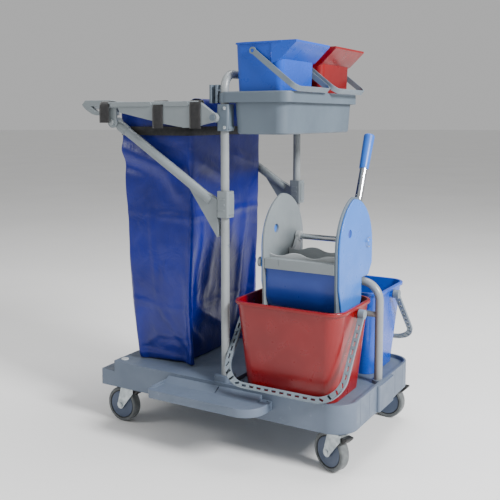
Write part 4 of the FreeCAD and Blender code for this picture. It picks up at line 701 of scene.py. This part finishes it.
# %% Press in the creases
# Each crease: its side, its two ends as (along, up), how high it stands and how wide, in millimetres.
CREASES = (
    ("front", (-165, 602), (-38, 600), 2.4, 7), ("front", (-264, 612), (-165, 606), 1.0, 7),
    ("front", (-186, 648), (-158, 345), 1.8, 7), ("front", (-190, 645), (-240, 520), 1.8, 7),
    ("front", (-262, 362), (-158, 345), 1.9, 7), ("front", (-158, 345), (-42, 338), 1.5, 7),
    ("front", (-158, 345), (-58, 205), 2.4, 7), ("front", (-168, 262), (-62, 264), 1.7, 7),
    ("front", (-168, 262), (-215, 225), 1.8, 8), ("front", (-243, 200), (-66, 192), 2.8, 8),
    ("front", (-52, 850), (-50, 300), 1.6, 7), ("front", (-120, 520), (-150, 380), 1.0, 7),
    ("front", (-300, 800), (-130, 738), 6.5, 24), ("front", (-130, 742), (-70, 650), 3.6, 20),
    ("front", (-160, 795), (-55, 838), 2.8, 14), ("front", (-290, 745), (-200, 726), -3.0, 18),
    ("right", (-181, 602), (204, 604), 2.6, 7), ("right", (-181, 345), (204, 345), 1.8, 7),
    ("right", (-110, 600), (-118, 330), 2.0, 12), ("right", (-45, 596), (-62, 380), 3.0, 18),
    ("right", (40, 600), (30, 350), 2.6, 16), ("right", (120, 620), (112, 250), 2.2, 14),
    ("right", (-150, 760), (10, 700), 3.2, 18), ("right", (40, 770), (180, 730), 2.8, 16),
    ("right", (-100, 330), (60, 250), 3.0, 14), ("right", (-160, 300), (-60, 215), 2.6, 12),
    ("rear", (-264, 602), (-38, 600), 2.4, 7), ("rear", (-255, 345), (-42, 345), 2.0, 7),
    ("rear", (-290, 790), (-90, 720), 5.0, 22), ("rear", (-150, 640), (-150, 345), 1.8, 7),
    ("rear", (-150, 345), (-60, 205), 2.2, 7), ("left", (-181, 602), (204, 600), 2.4, 7),
    ("left", (-181, 345), (204, 345), 1.9, 7), ("left", (11, 600), (11, 345), 1.8, 7),
    ("left", (-150, 780), (150, 720), 5.0, 24), ("left", (11, 345), (-150, 205), 2.2, 7),
)
SIDE_NORMAL = {"front": -Y, "rear": Y, "right": X, "left": -X}


def away_from_line(point, start_point, end_point):
    """Distance of a point from a line piece, and how far the point is along it."""
    line = end_point - start_point
    share = max(0.0, min(1.0, (point - start_point).dot(line) / line.length_squared))
    return (point - start_point - line * share).length, share


CREASE_GAIN = 2.4
FACING_LEAST = 0.3
END_SLOPE, END_HEIGHT = 5, 0.3
DIP, DIP_SPREAD = 0.4, 3
BILLOW, BILLOW_SCALE, BILLOW_INWARD = 4 * MM, 7, 0.3
WRINKLE, WRINKLE_SCALE = 1.2 * MM, 22
FADE_TOP, FADE_LENGTH = 0.826, 0.04


def press_creases(made, lines):
    """Raise a cloth along lines and let it sink beside them."""
    mesh = made.data
    moves = []
    for vert in mesh.vertices:
        move = 0.0
        for side, begin, end, height, width in lines:
            facing = vert.normal.dot(SIDE_NORMAL[side])
            if facing < FACING_LEAST:
                continue
            along = vert.co.x if side in ("front", "rear") else vert.co.y
            point = Vector((along, vert.co.z))
            far, share = away_from_line(point, Vector(begin) * MM, Vector(end) * MM)
            reach = far / (width * MM)
            taper = min(1.0, END_SLOPE * share + END_HEIGHT, END_SLOPE * (1 - share) + END_HEIGHT)
            relief = math.exp(-reach ** 2) - DIP * math.exp(-(reach / DIP_SPREAD) ** 2)
            move += CREASE_GAIN * height * MM * facing * taper * relief
        billow = BILLOW * (noise.noise(vert.co * BILLOW_SCALE) - BILLOW_INWARD)
        move += billow + WRINKLE * noise.noise(vert.co * WRINKLE_SCALE)
        fade = min(1.0, max(0.0, (FADE_TOP - vert.co.z) / FADE_LENGTH))
        moves.append(vert.normal * move * fade)
    for vert, shift in zip(mesh.vertices, moves):
        vert.co += shift


def keep_inside(made, left, right, sides):
    """Hold a cloth within the bag's CAD box, grown to its left, right and sides in millimetres."""
    low = bag_low + Vector((-left, -sides, 1)) * MM
    high = Vector((bag_high.x + right * MM, bag_high.y + sides * MM, BAG_TOP))
    for vert in made.data.vertices:
        for i in range(3):
            vert.co[i] = max(low[i], min(high[i], vert.co[i]))


keep_inside(bag, left=9, right=4, sides=-6.5)
press_creases(bag, CREASES)
keep_inside(bag, left=12, right=9, sides=1.8)
smooth_by_angle(bag.data, 80)
modifier(bag, "SUBSURF", levels=1, render_levels=1)
modifier(bag, "SOLIDIFY", thickness=1.0 * MM, offset=-1.0)
print("bag spans", [round(v, 3) for v in bag.dimensions])

# %% [markdown]
# A black band round the bag below the ring is partly a sewn binding and partly painted shade, the shade
# that the ring's skirt casts there. It could be a stripe in the cloth's material, but real tape stands
# proud of the cloth, so it is a band that follows the bag's plan, a little more than a millimetre outside it.

# %% Hem binding and painted shade
LONG_SIDE = 50 * MM


def plan_band(low, high, radius):
    """A band of upright faces round a box with rounded corners."""
    shape = rounded_box(low, high, Z, radius, segments=6)
    flat = [f for f in shape.faces if abs(f.normal.z) > 0.9]
    bmesh.ops.delete(shape, geom=flat, context="FACES_ONLY")
    long_sides = [e for e in shape.edges if e.calc_length() > LONG_SIDE]
    bmesh.ops.subdivide_edges(shape, edges=long_sides, cuts=24)
    return shape


HEM_OUT = 1.2 * MM
HEM_FOOT, HEM_MIDDLE, HEM_HEAD = 0.825, 0.836, 0.849
HEM_CORNER = 21 * MM
hem_lean = (BAG_TOP - HEM_MIDDLE) / (BAG_TOP - bag_low.z) * (FLOOR_LEFT - bag_low.x)
hem_shape = plan_band((bag_low.x + hem_lean - HEM_OUT, bag_low.y - HEM_OUT, HEM_FOOT),
                      (bag_high.x + HEM_OUT, bag_high.y + HEM_OUT, HEM_HEAD), HEM_CORNER)
hem_and_shade_band = piece("bag_hem_and_shade", hem_shape, hem_binding_and_shade, "bag_frame")
modifier(hem_and_shade_band, "SOLIDIFY", thickness=1.2 * MM, offset=-1.0)

# %% [markdown]
# The mouth of the bag is turned out over the ring's cross bar, where it hangs as a short cuff. It is one
# sheet that follows a rounded path up, over and down, and its free edge waves a little. A simulation
# would need the ring as a collider for little gain, so the sheet is laid along given points. The elastic
# straps that hold the bag go over the ring in the same way, so they share the cuff's two helpers.

# %% Cuff and straps
CORNER_CUT = 0.22


def rounded_path(points, rounds=3):
    """Cut the corners of a path again and again until it is round."""
    path = [Vector(p) * MM for p in points]
    for _ in range(rounds):
        cut = [path[0]]
        for first, second in zip(path, path[1:]):
            cut.append(first.lerp(second, CORNER_CUT))
            cut.append(first.lerp(second, 1 - CORNER_CUT))
        cut.append(path[-1])
        path = cut
    return path


def path_length(path):
    """Length of a path of points."""
    return sum((b - a).length for a, b in zip(path, path[1:]))


def band_shape(path, across, width, count, wave=None):
    """A sheet that follows a path and is as wide as told along a direction."""
    shape = bmesh.new()
    uv_layer = shape.loops.layers.uv.new("cloth")
    bmesh.ops.create_grid(shape, x_segments=len(path) - 1, y_segments=count, size=0.5, calc_uvs=True)
    total = path_length(path)
    for vert in shape.verts:
        index = round((vert.co.x + 0.5) * (len(path) - 1))
        share = vert.co.y
        place = path[index] + Vector(across) * width * share
        if wave:
            place = place + wave(index / (len(path) - 1), share)
        vert.co = place
    for face in shape.faces:
        for loop in face.loops:
            loop[uv_layer].uv = (loop[uv_layer].uv[0] * total, loop[uv_layer].uv[1] * width)
    bmesh.ops.recalc_face_normals(shape, faces=shape.faces)
    return shape


# The cross bar's two sides and the cuff's two ends below its top, in millimetres.
ring_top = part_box("bag_ring")[1].z * 1000
BAR_LEFT, BAR_RIGHT = -43.0, -13.0
CUFF_INSIDE, CUFF_OUTSIDE = 64, 52
cuff_path = rounded_path(((BAR_LEFT - 2, 0, ring_top - CUFF_INSIDE), (BAR_LEFT - 2, 0, ring_top + 3),
                          (BAR_LEFT + 6, 0, ring_top + 8), (BAR_RIGHT - 2, 0, ring_top + 6),
                          (BAR_RIGHT + 4, 0, ring_top - 4), (BAR_RIGHT + 4, 0, ring_top - CUFF_OUTSIDE)))
CUFF_WIDTH = 0.352
FLAT_SHARE = 0.35
cuff_middle = Y * (bag_low.y + bag_high.y) / 2


def cuff_wave(share, across):
    """Soft waves that grow toward the cuff's free edge, past the share of it that lies flat."""
    grow = max(0.0, share - FLAT_SHARE)
    ripple = noise.noise(Vector((across * 7, share * 2, 3.0)))
    out = 5 * MM * grow * (0.6 + ripple)
    up = (3.5 * ripple - 7 * grow * abs(across)) * MM * grow * 2
    return Vector((out, 0, up))


cuff_shape = band_shape([p + cuff_middle for p in cuff_path], Y, CUFF_WIDTH, 44, cuff_wave)
cuff = piece("bag_cuff_fold", cuff_shape, bag_cloth, "bag_frame", ("bag_cuff",))
modifier(cuff, "SOLIDIFY", thickness=1.2 * MM, offset=0.0)

STRAP_WIDTH = 34 * MM
# The ring's middle, its outer edge and the strap's height over it, in millimetres.
RING_MIDDLE, RING_EDGE, STRAP_OVER = 11.187, 238.0, 2
# Each row: where the strap lies along the ring, the inner side of the rail there less the strap's own
# thickness, and how far its inner and its outer end hang below the ring's top, in millimetres.
STRAPS = ((-295.0, 202.5, 8, 57), (-111.0, 202.5, 41, 71), (9.0, 220.5, 41, 71))
for number, (x, rail, inner_end, outer_end) in enumerate(STRAPS, 1):
    for side, name in ((-1, "front"), (1, "rear")):
        outer, near = RING_MIDDLE + side * RING_EDGE, RING_MIDDLE + side * rail
        path = rounded_path(((x, near, ring_top - inner_end), (x, near, ring_top + STRAP_OVER),
                             (x, outer, ring_top + STRAP_OVER), (x, outer, ring_top - outer_end)), 2)
        shape = band_shape(path, X, STRAP_WIDTH, 4)
        strap = piece("strap_" + name + str(number), shape, strap_elastic, "bag_frame",
                      ("bag_straps",))
        modifier(strap, "SOLIDIFY", thickness=1.5 * MM, offset=0.0)
print("straps:", 2 * len(STRAPS))

# %% [markdown]
# Small parts make the scale readable: the cap over the wringer's pivot, a darker disc of painted shade in
# the dimple of its cover, a black disc of painted shade in the recess of the turn knob, the ribbed collars
# of the arms and the screws in the brackets. Each is turned from a short profile about its own axis and rides
# with its neighbour.

# %% Small turned details
def small_turned(name, profile, centre_mm, axis, material, body):
    """A small turned piece whose place is given in millimetres."""
    return piece(name, turned(profile, Vector(centre_mm) * MM, axis, steps=32), material, body)


# A disc of the darker panel blue on the cover paints the shade in its dimple.
DIMPLE_AT = (384.6, -93.8, 582.0)
DIMPLE_SHADE_DISC = ((0, 0), (10.2, 0), (10.2, 0.7), (0, 0.4))
small_turned("cover_dimple_shade", DIMPLE_SHADE_DISC, DIMPLE_AT, X, panel_moulding_and_dimple_shade, "wringer")

CAP_AT = (387.3, 23.2, 546.0)
CAP = ((0, 6.2), (8.6, 6.2), (8.6, 0), (11.5, 0), (11.5, 5.5), (9.5, 8.0), (0, 9.2))
small_turned("pivot_cap", CAP, CAP_AT, X, cover_moulding, "wringer_lever")

# A thin black disc on the knob paints the shade in its recess.
KNOB_AT = (156.0, -146.8, 499.0)
RECESS_SHADE_DISC = ((0, 0.2), (7.5, 0.2), (7.5, -0.6), (6.0, -0.6), (0, -0.3))
small_turned("knob_recess_shade", RECESS_SHADE_DISC, KNOB_AT, X, black_nylon_and_painted_shade, "wringer")

# The arms run down from the ring's lugs. Their ribs follow each other along that direction.
ARM_RUN = Vector((327.0, 0.0, -210.0)).normalized()
ARM_HEAD_X, ARM_HEAD_Z = -275.0, 860.0
FIRST_RIB, RIB_STEP, RIB_COUNT = 20, 5.5, 5
RIB = ((13.6, -1.1), (14.6, -0.7), (14.75, 0), (14.6, 0.7), (13.6, 1.1))
for name, y in (("front", -198.3), ("rear", 220.7)):
    for index in range(RIB_COUNT):
        centre = Vector((ARM_HEAD_X, y, ARM_HEAD_Z)) + ARM_RUN * (FIRST_RIB + RIB_STEP * index)
        small_turned("collar_rib_" + name + str(index + 1), RIB, centre, ARM_RUN, light_grey_moulding,
                     "support_arm_" + name)

SCREW = ((0, 0), (4.4, 0), (4.4, 0.9), (3.2, 2.0), (1.4, 2.3), (1.4, 1.2), (0, 1.2))
SCREW_X, SCREW_HEIGHTS = 88.0, (848.0, 897.0)
for name, side, face in (("front", -1, -209.8), ("rear", 1, 232.2)):
    for index, z in enumerate(SCREW_HEIGHTS):
        small_turned("bracket_screw_" + name + str(index + 1), SCREW, (SCREW_X, face, z), Y * side,
                     zinc_plate, "trolley")
print("small parts:", 3 + 2 * RIB_COUNT + 2 * len(SCREW_HEIGHTS))

# %% [markdown]
# The ring's flange is stiffened by long ribs with round ends, moulded along its outer side between the
# straps. They stand a few millimetres proud, so they catch light as a pale line.

# %% Ribs of the ring
# The ribs' ends along the ring, their height, and how deep they root and how far they stand out, in mm.
RIB_SPANS = ((-272.0, -132.0), (-90.0, -12.0))
RIB_FOOT, RIB_HEAD = 903.0, 914.5
RIB_ROOT, RIB_PROUD = 1.0, 2.6
for name, face, outward in (("front", -224.8, -1), ("rear", 247.2, 1)):
    near, far = sorted((face - outward * RIB_ROOT, face + outward * RIB_PROUD))
    for index, (begin, end) in enumerate(RIB_SPANS):
        low, high = Vector((begin, near, RIB_FOOT)) * MM, Vector((end, far, RIB_HEAD)) * MM
        rib = rounded_box(low, high, Y, 5.6 * MM)
        soften(rib, 1.1 * MM)
        piece("ring_rib_" + name + str(index + 1), rib, light_grey_moulding, "bag_frame")
print("ring ribs:", 2 * len(RIB_SPANS))
